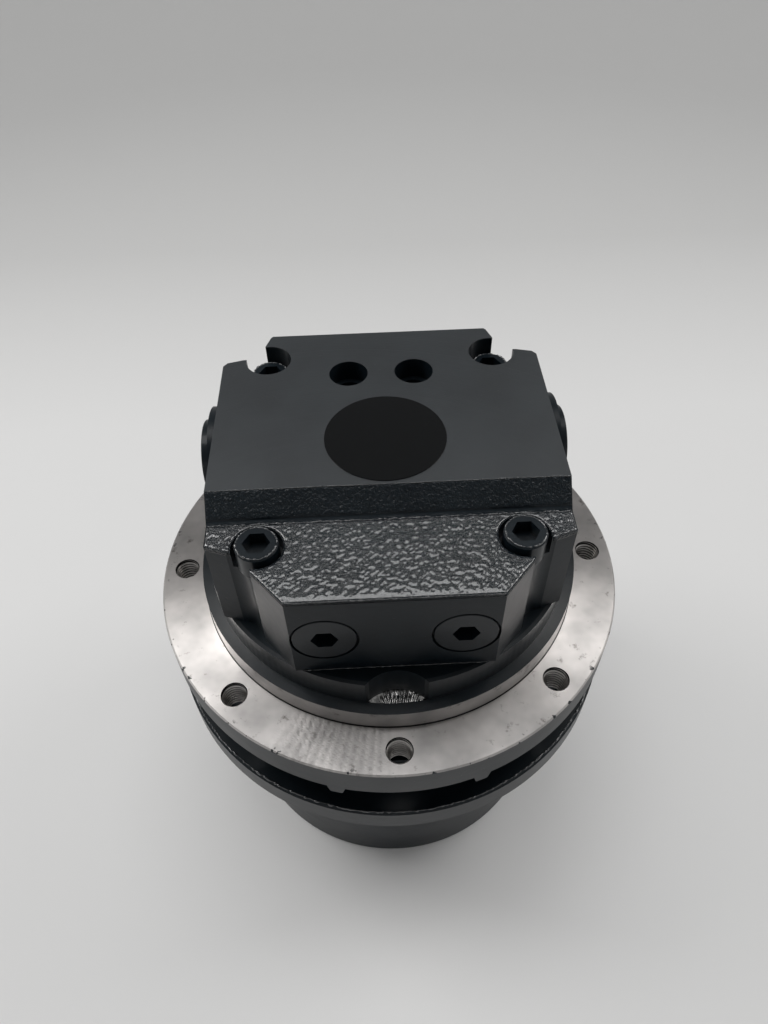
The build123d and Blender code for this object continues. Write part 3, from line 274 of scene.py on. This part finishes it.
def housingFinish(wire):
    # Spindle housing: painted outside, with the ring face and the pilot's side turned bright, and a
    # painted shade line in the crease at the pilot's foot.
    place, x, y, z, radius, angle = coordinates(wire)
    colour, rough, normal = paintCoat(wire, place)
    ring, soft = bareRing, 0.1 * mm
    fleck = wire.noise(place, 210, 2, 0.6).ramp(0.63, 0.65) * radius.ramp(*ring["flecks"])
    ringFace = z.within(*ring["face"], soft) * radius.ramp(*ring["inner"]) * (1 - fleck)
    pilotSide = z.within(*ring["pilot"], soft) * radius.within(*ring["pilotRadius"], soft)
    # Painted shade: a near-black line in the crease where the pilot meets the ring face.
    foot = z.within(*ring["footShadeLine"], soft) * radius.within(*ring["footShadeRadius"], soft)
    bare = ringFace.maths("MAXIMUM", pilotSide) * (1 - foot)
    rings = wire.noise(wire.point(radius), 4200, 2, 0.8)
    patch = wire.noise(place, 38, 3, 0.6)
    left = angle.within(*ring["chatterArc"], 0.12)
    chatter = (angle * ring["chatterCount"] + wire.noise(place, 60, 2) * 2.2).maths("SINE")
    broken = wire.noise(wire.point(angle * 8, radius * 140), 4, 2).ramp(0.38, 0.62)
    marks = chatter * left * broken * z.ramp(0.0007, 0.0004)
    steel = patch.ramp(0.3, 0.75).colours(ring["steel"], ring["worn"])
    stain = wire.noise(place, 130, 4, 0.7).ramp(0.60, 0.72)
    steel = stain.colours(steel, ring["stained"])
    steel = (marks.ramp(-0.9, 0.9) * 0.35 * left).colours(steel, ring["marked"])
    scratch = wire.noise(wire.point(x * 60 + y * 900, y * 40 - x * 9), 1, 1).ramp(0.72, 0.76)
    cuts = rings * ring["cut"] + marks * ring["chatter"] - scratch * ring["scratch"]
    steelNormal = bumps(wire, cuts, mm)
    steelRough = rings * 0.06 + patch * 0.10 + ring["roughness"]
    either = {0: bare, 4: normal, 5: steelNormal}
    return {
        # Where the painted shade line lies, its near-black takes the place of paint and steel.
        "Base Color": bare.colours(foot.colours(colour, ring["foot"]), steel),
        "Roughness": rough + bare * (steelRough - rough),
        "Metallic": bare,
        "Normal": wire.node("ShaderNodeMix", {"data_type": "VECTOR"}, either, 1),
    }


grains = {
    # the noise's scale, detail and roughness, the part of it that goes from dark to light, the two
    # colours, the gloss as a base and a spread, and the grain's height in mm
    "turnedSteel": {"noise": (900, 3, 0.7), "fade": (0.25, 0.75), "dark": (0.40, 0.39, 0.38),
                    "light": (0.56, 0.55, 0.54), "gloss": (0.22, 0.15), "height": 0},
    "streakedSteel": {"noise": (500, 2, 0.6), "fade": (0.35, 0.65), "dark": (0.30, 0.30, 0.30),
                      "light": (0.85, 0.84, 0.82), "gloss": (0.12, 0.1), "height": 0},
    "bronze": {"noise": (700, 3, 0.6), "fade": (0.3, 0.7), "dark": (0.50, 0.32, 0.14),
               "light": (0.66, 0.44, 0.22), "gloss": (0.25, 0.2), "height": 0},
    "castIron": {"noise": (500, 4, 0.6), "fade": (0.3, 0.7), "dark": (0.13, 0.13, 0.135),
                 "light": (0.2, 0.2, 0.205), "gloss": (0.35, 0.25), "height": 0.05},
    "rubber": {"noise": (1200, 2, 0.5), "fade": (0.3, 0.7), "dark": (0.012, 0.012, 0.013),
               "light": (0.022, 0.022, 0.023), "gloss": (0.5, 0.2), "height": 0.02},
    "lining": {"noise": (1800, 3, 0.7), "fade": (0.3, 0.7), "dark": (0.06, 0.035, 0.02),
               "light": (0.16, 0.10, 0.06), "gloss": (0.7, 0.1), "height": 0.05},
}


def grained(name):
    # A plain finish: one noise blends its two colours, spreads its gloss and lifts its surface.
    look = grains[name]

    def build(wire):
        grain = wire.noise(objectPlace(wire), *look["noise"])
        base, spread = look["gloss"]
        links = {
            "Base Color": grain.ramp(*look["fade"]).colours(look["dark"], look["light"]),
            "Roughness": grain * spread + base,
        }
        if look["height"]:
            links["Normal"] = bumps(wire, grain, look["height"] * mm)
        return links
    return build


def ringGearFinish(wire):
    # The ring gear's barrel: paint outside, cut steel on the teeth and the faces inside.
    place, x, y, z, radius, angle = coordinates(wire)
    colour, rough, normal = paintCoat(wire, place)
    inside = radius.ramp(*bareRing["barrel"])
    cut = grains["turnedSteel"]
    rings = wire.noise(place, *cut["noise"])
    steel = rings.ramp(*cut["fade"]).colours(cut["dark"], cut["light"])
    return {
        "Base Color": inside.colours(colour, steel),
        "Roughness": rough - inside * 0.08,
        "Metallic": inside,
        "Normal": normal,
    }


threads = {
    "frameCircle": 105.0,     # mm, radius of the circle of frame taps
    "frameCount": 8,
    "frameFirst": 0.0,        # degrees
    "bore": 6.2,              # mm, radius of the solid's plain bore
    "depth": 1.0,
    "pitch": 2.0,
    "low": -16.8,
    "high": -0.02,
    "mouth": 1.3,             # mm, height over which the thread sets in
    "wall": 0.35,             # mm, of the sleeve, behind the bore's face
    "perTurn": (8, 48),       # points along the axis in one pitch, and round the bore
    "rootShadeRadii": (5.9, 5.5),       # mm, radii from the painted shade in the root to the plain steel of the crest
    # colours of the painted shade in the thread roots and of the crests' steel
    "dark": (0.01, 0.01, 0.011),
    "light": (0.6, 0.58, 0.56),
}


def threadSteel(wire):
    # Cut threads: bright steel crests and painted shade in the roots, by the distance from the nearest
    # tap's axis; the oil noise only sets the roughness.
    place, x, y, z, radius, angle = coordinates(wire)
    share = math.tau / threads["frameCount"]
    turn = (angle + (threads["frameCount"] + 1) * share / 2).maths("MODULO", share) - share / 2
    along = radius * turn.maths("COSINE") - threads["frameCircle"] * mm
    across = radius * turn.maths("SINE")
    root, crest = threads["rootShadeRadii"]
    # Painted shade: darker the further a point lies from the tap's axis, that is, deeper in the
    # thread's root.
    bright = ((along * along + across * across) ** 0.5).ramp(root * mm, crest * mm)
    oil = wire.noise(place, 400, 3, 0.6)
    colour = bright.colours(threads["dark"], threads["light"])
    return {"Base Color": colour, "Roughness": oil * 0.2 + 0.22}


def plateFilm(wire):
    # The blank round plate: glossy black film with a faint ripple and dust.
    place = objectPlace(wire)
    ripple = wire.noise(place, 120, 2, 0.4)
    specks = wire.noise(place, 1500, 1).ramp(0.77, 0.8)
    return {
        "Base Color": specks.colours(coverFaces["plate"], coverFaces["plateDust"]),
        "Roughness": ripple * 0.06 + 0.10,
        "Normal": bumps(wire, ripple, 0.02 * mm),
    }


gloss = {"Specular_IOR_Level": paint["specular"]}
turnedSpread = {"Anisotropic": 0.82, "Anisotropic_Rotation": 0.25}   # wide across the turning marks
screwGloss = {"Coat_Weight": 0.15, "Coat_Roughness": 0.12}
wetGloss = {"Specular_IOR_Level": 0.5, "Coat_Weight": 1.0, "Coat_Roughness": 0.07, "Coat_IOR": 1.65}
finishes = {
    "cover_paint": material("coverPaint", coverFinish, Coat_Roughness=0.5, **gloss),
    "housing_paint": material("housingPaint", housingFinish, **turnedSpread),
    "hub_paint": material("hubPaint", plainPaint, **gloss),
    "fastener_black": material("screwPaint", plainPaint, **screwGloss, **gloss),
    "plate_black": material("plateFilm", plateFilm),
    "gear_steel": material("gearSteel", grained("turnedSteel"), Metallic=1.0),
    "bearing_steel": material("bearingSteel", grained("turnedSteel"), Metallic=1.0),
    "cage_steel": material("cageSteel", grained("turnedSteel"), Metallic=1.0),
    "spring_steel": material("springSteel", grained("turnedSteel"), Metallic=1.0),
    "bronze": material("bronze", grained("bronze"), Metallic=1.0),
    "block_iron": material("blockIron", grained("castIron"), Metallic=0.6),
    "seal_rubber": material("sealRubber", grained("rubber")),
    "friction_lining": material("frictionLining", grained("lining")),
}
ringGearPaint = material("ringGear", ringGearFinish, **gloss)
slopeFinish = material("slopeSkin", castPaint, **gloss)
skinFinish = material("castSkin", castPaint, **wetGloss)
edgeFinish = material("edgePaint", plainPaint, **wetGloss)
notchSteel = material("notchSteel", grained("streakedSteel"), Metallic=1.0)
threadFinish = material("cutThread", threadSteel, Metallic=1.0)

for part in frame["record"]["subparts"]:
    mesh = nodes[part["node"]].data
    mesh.materials.clear()
    inTwoFinishes = part["node"] == "ring_gear"
    mesh.materials.append(ringGearPaint if inTwoFinishes else finishes[part["material_slot"]])
print("finishes made,", len(finishes))


# Surfaces on grids

def gridMesh(name, points, keep=None, wrapRows=False, wrapColumns=False):
    # A grid of points as quads. keep drops faces; wrapping joins the last row or column to the first.
    rows, columns = points.shape[:2]
    index = np.arange(rows * columns).reshape(rows, columns)
    if wrapColumns:
        index = np.concatenate([index, index[:, :1]], 1)
    if wrapRows:
        index = np.concatenate([index, index[:1]], 0)
    corners = [index[:-1, :-1], index[:-1, 1:], index[1:, 1:], index[1:, :-1]]
    quads = np.stack(corners, -1).reshape(-1, 4)
    if keep is not None:
        quads = quads[keep.reshape(-1)]
    used, inverse = np.unique(quads, return_inverse=True)
    mesh = bpy.data.meshes.new(name)
    mesh.from_pydata(points.reshape(-1, 3)[used].tolist(), [], inverse.reshape(-1, 4).tolist())
    mesh.polygons.foreach_set("use_smooth", np.ones(len(quads), bool))
    return mesh


def addPiece(name, mesh, body, finish):
    piece = bpy.data.objects.new(name, mesh)
    mesh.materials.append(finish)
    bpy.context.collection.objects.link(piece)
    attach(piece, body)
    return piece


def joined(name, meshes):
    # Several meshes as one: their points and faces one after another.
    points, faces, start = [], [], 0
    for mesh in meshes:
        count = len(mesh.vertices)
        flat = np.empty(count * 3)
        mesh.vertices.foreach_get("co", flat)
        corners = np.empty(len(mesh.loops), int)
        mesh.loops.foreach_get("vertex_index", corners)
        points.append(flat.reshape(-1, 3))
        faces.append(corners.reshape(-1, 4) + start)
        start += count
        bpy.data.meshes.remove(mesh)
    whole = bpy.data.meshes.new(name)
    whole.from_pydata(np.concatenate(points).tolist(), [], np.concatenate(faces).tolist())
    whole.polygons.foreach_set("use_smooth", np.ones(len(whole.polygons), bool))
    return whole


def smoothNoise(x, y, cell, seed):
    # Random numbers on a square lattice, blended between its corners with 3t^2 - 2t^3.
    table = np.random.default_rng(seed).random((128, 128))
    column, row = np.floor(x / cell).astype(int), np.floor(y / cell).astype(int)
    s, t = x / cell - column, y / cell - row
    s, t = s * s * (3 - 2 * s), t * t * (3 - 2 * t)

    def corner(right, up):
        return table[(column + right) % 128, (row + up) % 128]
    low = corner(0, 0) * (1 - s) + corner(1, 0) * s
    high = corner(0, 1) * (1 - s) + corner(1, 1) * s
    return low * (1 - t) + high * t


def castRelief(x, y, grain):
    # Wrinkled cast skin from 0 to 1: ridges where a turned noise crosses its middle, which is 1 less
    # twice the distance from it, plus fine grain and lumps.
    across, along = x * 0.8 + y * 0.6, y * 0.8 - x * 0.6
    ridges = 1 - np.abs(2 * smoothNoise(across, along, grain, 3) - 1)
    fine = smoothNoise(x, y, grain * 0.55, 5)
    lumps = smoothNoise(along, across, grain * 2.4, 7)
    ridgeShare, fineShare, lumpShare = castSkin["shares"]
    return ridges * ridgeShare + fine * fineShare + lumps * lumpShare


castSkin = {
    "step": 0.42,                       # mm between points
    "grain": 1.7,                       # mm, size of a wrinkle
    "shares": (0.45, 0.35, 0.2),        # of the ridges, the fine grain and the lumps
    "shelfRelief": 0.55,                # mm, height of the wrinkles on the shelf
    "slopeRelief": 0.26,                # mm, the same on the slope
    "calm": (0.45, 1.0, 1.6),           # share at the front, mm where it grows, and over how many
    "riseOver": 0.7,                    # mm from the rim
    "dip": (0.06, 0.3),                 # mm into the solid at the rim, and over how many
    "inset": 0.15,                      # mm, the shelf's relief starts this far in
    "wall": 0.4,                        # mm, thickness of the skins
    "shelfZ": 77.0,
    "top": (-28.4, 87.5),               # y and z of the slope's top and foot edges
    "foot": (-38.7, 77.0),
    "slopeStart": (2.6, 1.5),           # mm above the foot where the relief grows, and over how many
    "halfWidth": 76.3,
    "frontY": -79.0,
    "scallop": (67.0, -63.2, 10.4),     # x, y and radius of the corner scallop
    "counterbore": (54.4, -51.0, 10.9),   # the same for the screw's counterbore
    # slanted edges: x and y of the start, the two slopes and their length
    "chamfer": (43.0, -79.0, 15.8, 13.6, 20.85),
    "chamferTo": 58.0,                  # mm from the middle
    "ear": (67.0, -52.8, 3.5, 9.3, 9.937),
    "earFrom": 57.0,
}


def thicken(piece, wall):
    # Gives a skin its wall in mm, on the inner side.
    thick = piece.modifiers.new("thickness", "SOLIDIFY")
    thick.thickness = wall * mm
    thick.offset = -1


def beyond(side, y, line):
    # Distance from a slanted edge: the offsets from its start times its slopes, over its length.
    startX, startY, slopeX, slopeY, length = line
    return ((startX - side) * slopeX + (y - startY) * slopeY) / length


def atRim(rim):
    # From the distance to the rim: the relief's share, up to 1, and the dip at the rim, down to 0.
    dip, over = castSkin["dip"]
    return np.clip(rim / castSkin["riseOver"], 0, 1), (1 - np.clip(rim / over, 0, 1)) * dip


def shelfSkin():
    # The rough face of the shelf: z is the face's height plus the relief times the distance to
    # the nearest edge of the face, cut off at 1, so that the skin dips into the solid at its rim.
    step, half, frontY = castSkin["step"], castSkin["halfWidth"], castSkin["frontY"]
    footY = castSkin["foot"][0]
    x, y = np.meshgrid(np.arange(-half, half, step), np.arange(frontY, footY, step))
    side = np.abs(x)
    scallopX, scallopY, scallopRadius = castSkin["scallop"]
    boreX, boreY, boreRadius = castSkin["counterbore"]
    scallop = np.hypot(side - scallopX, y - scallopY) - scallopRadius
    bore = np.hypot(side - boreX, y - boreY) - boreRadius
    chamfer = np.where(side < castSkin["chamferTo"], beyond(side, y, castSkin["chamfer"]), np.inf)
    ear = np.where(side > castSkin["earFrom"], beyond(side, y, castSkin["ear"]), np.inf)
    front = np.minimum(chamfer, y - frontY)
    rim = np.minimum.reduce([front, scallop, bore, ear, half - side, footY - y])
    least, start, over = castSkin["calm"]
    calm = least + (1 - least) * np.clip((front - start) / over, 0, 1)
    rise, dip = atRim(rim - castSkin["inset"])
    relief = castRelief(x, y, castSkin["grain"])
    z = castSkin["shelfZ"] + rise * relief * calm * castSkin["shelfRelief"] - dip
    inside = rim > 0.02
    keep = inside[:-1, :-1] & inside[:-1, 1:] & inside[1:, :-1] & inside[1:, 1:]
    mesh = gridMesh("shelfSkin", np.stack([x, y, z], -1) * mm, keep)
    thicken(addPiece("shelfSkin", mesh, "housing", skinFinish), castSkin["wall"])


def slopeSkin():
    # The rough face of the slope: points along the slope's line, lifted along its normal by the relief.
    step, half = castSkin["step"], castSkin["halfWidth"]
    top, foot = np.array(castSkin["top"]), np.array(castSkin["foot"])
    length = np.hypot(*(top - foot))
    run = (top - foot) / length
    x, s = np.meshgrid(np.arange(-half + 0.1, half, step), np.arange(0.2, length - 0.1, step))
    start, over = castSkin["slopeStart"]
    rim = np.minimum.reduce([half - np.abs(x), length - s, (s - start) / over])
    rise, dip = atRim(rim)
    relief = castRelief(x + 31, s, castSkin["grain"] * 0.8)
    lift = rise * relief * castSkin["slopeRelief"] - dip
    y = foot[0] + run[0] * s - run[1] * lift
    z = foot[1] + run[1] * s + run[0] * lift
    mesh = gridMesh("slopeSkin", np.stack([x, y, z], -1) * mm)
    thicken(addPiece("slopeSkin", mesh, "housing", slopeFinish), castSkin["wall"])


def bead(name, path, radius, wobble, seed, closed=False):
    # Paint gathered on an edge: a six-sided tube whose radius and offset vary by noise along the
    # path, thinning to its ends unless it is closed.
    count = len(path)
    along = np.roll(path, -1, 0) - np.roll(path, 1, 0) if closed else np.gradient(path, axis=0)
    along = along / np.linalg.norm(along, axis=1, keepdims=True)
    helper = np.where(np.abs(along[:, 2:]) < 0.9, [[0, 0, 1.0]], [[1.0, 0, 0]])
    first = np.cross(helper, along)
    first = first / np.linalg.norm(first, axis=1, keepdims=True)
    second = np.cross(along, first)
    distance = np.arange(count) * 1.0
    size = radius * (0.2 + 1.6 * smoothNoise(distance, distance * 0, 2.2, seed))
    shift = (smoothNoise(distance, distance * 0, 5.1, seed + 1) - 0.5) * wobble
    if not closed:
        size = size * np.clip(np.minimum(distance, distance[::-1]) / 4, 0.05, 1)
    turn = np.arange(6) * math.tau / 6
    ring = np.cos(turn)[None, :, None] * first[:, None] + np.sin(turn)[None, :, None] * second[:, None]
    points = path[:, None] + ring * size[:, None, None] + (first * shift[:, None])[:, None]
    return gridMesh(name, points * mm, wrapRows=closed, wrapColumns=True)


def straight(start, end, step):
    # Points from start to end, a step apart.
    start, end = np.array(start, float), np.array(end, float)
    share = np.linspace(0, 1, max(3, round(np.linalg.norm(end - start) / step)))
    return start + share[:, None] * (end - start)


def circle(centre, radius, step):
    # Points round a level circle, a step apart.
    turn = np.linspace(0, math.tau, round(math.tau * radius / step), endpoint=False)
    return np.array(centre) + radius * np.stack([np.cos(turn), np.sin(turn), turn * 0], -1)


coverEdges = {
    # half length, y and z of the edge, then the bead's radius and wobble in mm, and its seed
    "topEdge": (76.0, -28.4, 87.45, 0.26, 0.3, 11),
    "footEdge": (76.0, -38.7, 77.05, 0.4, 0.6, 13),
    "shelfEdge": (43.0, -79.0, 77.0, 0.24, 0.25, 15),
    "baseEdge": (40.0, -79.0, 27.0, 0.3, 0.25, 17),
}

screwRims = {
    "centres": [(-54.4, -51.0), (54.4, -51.0), (-54.4, 58.0), (54.4, 58.0)],
    "z": 79.75,
    "circle": 8.3,
    "bead": (0.34, 0.4),   # mm, radius and wobble
    "seed": 21,
}

flangeEdge = {
    "z": -44.05,
    "circle": 115.3,
    "bead": (0.42, 0.4),
    "seed": 31,
}


def paintEdges():
    # Paint beads along the cover's cast edges, round the screw heads and on the sprocket flange.
    step = 0.35
    lines = [bead(name, straight((-half, y, z), (half, y, z), step), radius, wobble, seed)
             for name, (half, y, z, radius, wobble, seed) in coverEdges.items()]
    addPiece("coverEdgePaint", joined("coverEdgePaint", lines), "housing", skinFinish)
    rims = []
    for number, (x, y) in enumerate(screwRims["centres"]):
        path = circle((x, y, screwRims["z"]), screwRims["circle"], step)
        rims.append(bead("rim", path, *screwRims["bead"], screwRims["seed"] + number))
    addPiece("screwRimPaint", joined("screwRimPaint", rims), "housing", edgeFinish)
    path = circle((0, 0, flangeEdge["z"]), flangeEdge["circle"], 0.5)
    lip = bead("flangeEdgePaint", path, *flangeEdge["bead"], flangeEdge["seed"], closed=True)
    addPiece("flangeEdgePaint", lip, "hub", edgeFinish)


def threadSleeve(centre):
    # A screw thread inside a bore: the radius is the bore less a flat-topped triangle wave of the
    # height over the pitch less the angle, fading in at the mouth; the sleeve closes behind the wall.
    bore, depth, pitch = threads["bore"], threads["depth"], threads["pitch"]
    low, high = threads["low"], threads["high"]
    rows, columns = threads["perTurn"]
    z = np.linspace(high, low, round((high - low) / pitch * rows))
    turn = np.linspace(0, math.tau, columns, endpoint=False)
    height, angle = np.meshgrid(z, turn, indexing="ij")
    phase = (height / pitch - angle / math.tau) % 1
    wave = np.clip(1.25 - np.abs(2 * phase - 1) * 1.5, 0, 1)
    fade = np.clip((high - height) / threads["mouth"], 0, 1)
    radius = bore - 0.01 - depth * fade * wave
    back = np.full((2, columns), bore + threads["wall"])
    radius = np.concatenate([radius, back])
    height = np.concatenate([height, np.full((1, columns), low), np.full((1, columns), high - 0.1)])
    angle = np.concatenate([angle, np.stack([turn, turn])])
    x = centre[0] + radius * np.cos(angle)
    y = centre[1] + radius * np.sin(angle)
    return gridMesh("thread", np.stack([x, y, height], -1) * mm, wrapRows=True, wrapColumns=True)


def frameThreads():
    # A sleeve in each frame tap; the centres stand evenly on a circle about the drive axis.
    count = threads["frameCount"]
    turns = math.radians(threads["frameFirst"]) + np.arange(count) * math.tau / count
    centres = threads["frameCircle"] * np.stack([np.cos(turns), np.sin(turns)], -1)
    sleeves = [threadSleeve(centre) for centre in centres]
    addPiece("frameThreads", joined("frameThreads", sleeves), "housing", threadFinish)


notchFloor = {
    "half": 13.45,           # mm, half width of the lens between the notch's wall and the pilot
    "back": (-98.8, 17.6),   # mm, centre and radius of the back arc
    "front": 88.7,           # mm, radius of the front arc
    "z": 9.05,
    "rise": 1.5,             # mm, from the front of the lens to its back
    "rib": 0.55,             # mm, height of the ribs
    "ribs": 68,              # in a full turn
    "points": (180, 30),     # across and along the lens
    "fanY": -104.0,          # mm, the point that the ribs fan from
    "patch": 2.2,            # mm, size of the strong and weak patches
    "seed": 41,
    "wall": 0.3,
}


def notchLens():
    # The lens-shaped floor seen through the notch: between two arcs, with ribs that fan from a
    # point behind it. The height is the floor plus a wave of the angle about that point.
    across, along = notchFloor["points"]
    u, v = np.meshgrid(np.linspace(-1, 1, across), np.linspace(0, 1, along))
    x = u * notchFloor["half"]
    centreY, radius = notchFloor["back"]
    front = -np.sqrt(notchFloor["front"] ** 2 - x ** 2)
    back = centreY + np.sqrt(radius ** 2 - x ** 2)
    y = front + v * np.maximum(back - front, 0.02)
    fan = np.arctan2(x, y - notchFloor["fanY"])
    patches = smoothNoise(x, y, notchFloor["patch"], notchFloor["seed"])
    strength = patches * (1 - np.abs(2 * v - 1) ** 6) * (1 - u ** 6)
    wave = 0.5 + 0.5 * np.sin(fan * notchFloor["ribs"])
    z = notchFloor["z"] + v * notchFloor["rise"] + notchFloor["rib"] * strength * wave
    mesh = gridMesh("notchFloor", np.stack([x, y, z], -1) * mm)
    thicken(addPiece("notchFloor", mesh, "housing", notchSteel), notchFloor["wall"])


shelfSkin()
slopeSkin()
paintEdges()
frameThreads()
notchLens()
print("cast skin, paint edges, threads and notch floor made")


# Stage, light and camera

stage = {
    "floorColour": (0.80, 0.80, 0.80),
    "middle": (0.0, 0.1),   # m, x and y of the round floor's middle
    "floorRadius": 1.1,
    "bend": 0.5,            # m, radius of the bend into the wall
    "wallTop": 1.1,
}

# What the camera and reflections see of the stage: light added in front and behind, cut almost to
# nothing close to the drive as painted shade round its foot on top of its real shadow, and the stage's
# own shade.
lifted = {
    "front": (0.315, 0.315, 0.313),
    "back": (0.215, 0.215, 0.212),
    # painted shade: the small lift left close to the drive
    "shadedNear": (0.02, 0.02, 0.02),
    "shade": (0.38, 0.38, 0.38),
    "paintedShadeFrom": (0.24, 0.09),   # m from the drive axis, over which the painted shade sets in
    "backFrom": (0.30, 0.62),   # m, y
}


def backdrop():
    # A round floor that bends up into a wall: a profile of radius and height, turned about the
    # upright axis through the middle.
    turn = np.linspace(0, math.pi / 2, 24)
    radius = np.concatenate([[0.0, 0.3, 0.7], stage["floorRadius"] + stage["bend"] * np.sin(turn)])
    height = np.concatenate([[0.0, 0.0, 0.0], stage["bend"] * (1 - np.cos(turn))])
    radius = np.append(radius, radius[-1])
    height = np.append(height, stage["wallTop"]) + cadBounds[0][2]
    angle = np.linspace(0, math.tau, 96, endpoint=False)
    x = stage["middle"][0] + radius[:, None] * np.cos(angle)
    y = stage["middle"][1] + radius[:, None] * np.sin(angle)
    points = np.stack([x, y, np.broadcast_to(height[:, None], x.shape)], -1)
    thing = bpy.data.objects.new("backdrop", gridMesh("backdrop", points[:, ::-1], wrapColumns=True))
    thing.data.materials.append(material("paleSheet", paleSheet, Emission_Strength=1.0))
    bpy.context.collection.objects.link(thing)


def paleSheet(wire):
    # Matt pale sheet. What the camera, glossy and clear rays see is lifted, more in front than behind,
    # and hardly close to the drive, as painted shade.
    place, x, y, z, radius, angle = coordinates(wire)
    grain = wire.noise(place, 60, 2)
    path = wire.node("ShaderNodeLightPath", {}, {}, "Is Camera Ray")
    glossy = Wire(wire.tree, path.socket.node.outputs["Is Glossy Ray"])
    clear = Wire(wire.tree, path.socket.node.outputs["Is Transmission Ray"])
    seen = path.maths("MAXIMUM", glossy).maths("MAXIMUM", clear)
    # Painted shade: the lift falls away towards the drive, darkening the floor round its foot on top of
    # the real shadow that the lit colour keeps.
    shadedNear = radius.ramp(*lifted["paintedShadeFrom"])
    wide = y.ramp(*lifted["backFrom"]).colours(lifted["front"], lifted["back"])
    lift = shadedNear.colours(wide, lifted["shadedNear"])
    shade = shadedNear.colours(lifted["shade"], stage["floorColour"])
    return {
        "Roughness": grain * 0.05 + 0.75,
        "Base Color": seen.colours(stage["floorColour"], shade),
        "Emission Color": seen.colours((0, 0, 0), lift),
    }


lamps = {
    # place in m, width and depth in m, power in W and colour; each one faces the origin
    "leftPanel": ((-0.70, 0.25, 0.75), (0.45, 0.45), 5.4, (1.0, 0.99, 0.975)),
    "rightPanel": ((0.70, 0.25, 0.75), (0.45, 0.45), 4.0, (1.0, 0.99, 0.975)),
    "ceilingPanel": ((-0.05, 0.20, 1.0), (0.7, 0.45), 3.2, (1.0, 1.0, 1.0)),
}

studio = {
    "colour": (0.8, 0.8, 0.8, 1),
    "strength": 0.2,
}


def softPanel(name, place, size, power, colour):
    lamp = bpy.data.lights.new(name, "AREA")
    lamp.shape = "RECTANGLE"
    lamp.size, lamp.size_y = size
    lamp.energy = power
    lamp.color = colour
    panel = bpy.data.objects.new(name, lamp)
    turned = Vector(place).to_track_quat("Z", "Y").to_matrix().to_4x4()
    panel.matrix_world = Matrix.Translation(place) @ turned
    bpy.context.collection.objects.link(panel)


backdrop()
for name, values in lamps.items():
    softPanel(name, *values)

world = bpy.data.worlds.new("studio")
bpy.context.scene.world = world
world.use_nodes = True
background = world.node_tree.nodes["Background"]
background.inputs["Color"].default_value = studio["colour"]
background.inputs["Strength"].default_value = studio["strength"]

# Camera fitted to the bolt circle and the cover's corners: its right, down and forward axes
view = {
    "eye": (-0.007366, -0.245656, 0.315401),
    "right": (0.998875, -0.043982, -0.017707),
    "down": (-0.044669, -0.747762, -0.662463),
    "forward": (0.015896, 0.662509, -0.748885),
    "focalPixels": 759.876,
    "frameHeight": 1024,   # pixels
    "sensor": 36.0,        # mm
}


def placeCamera():
    lens = bpy.data.cameras.new("camera")
    lens.sensor_fit = "AUTO"
    lens.sensor_width = view["sensor"]
    lens.lens = view["focalPixels"] * view["sensor"] / view["frameHeight"]
    camera = bpy.data.objects.new("camera", lens)
    right, down, forward = (np.array(view[key]) for key in ("right", "down", "forward"))
    turn = np.eye(4)
    turn[:3, 0] = right
    turn[:3, 1] = -down
    turn[:3, 2] = -forward
    turn[:3, 3] = view["eye"]
    camera.matrix_world = Matrix(turn.tolist())
    bpy.context.collection.objects.link(camera)
    bpy.context.scene.camera = camera


placeCamera()
bpy.context.scene.view_settings.view_transform = "Standard"
print("stage, lights and camera placed")
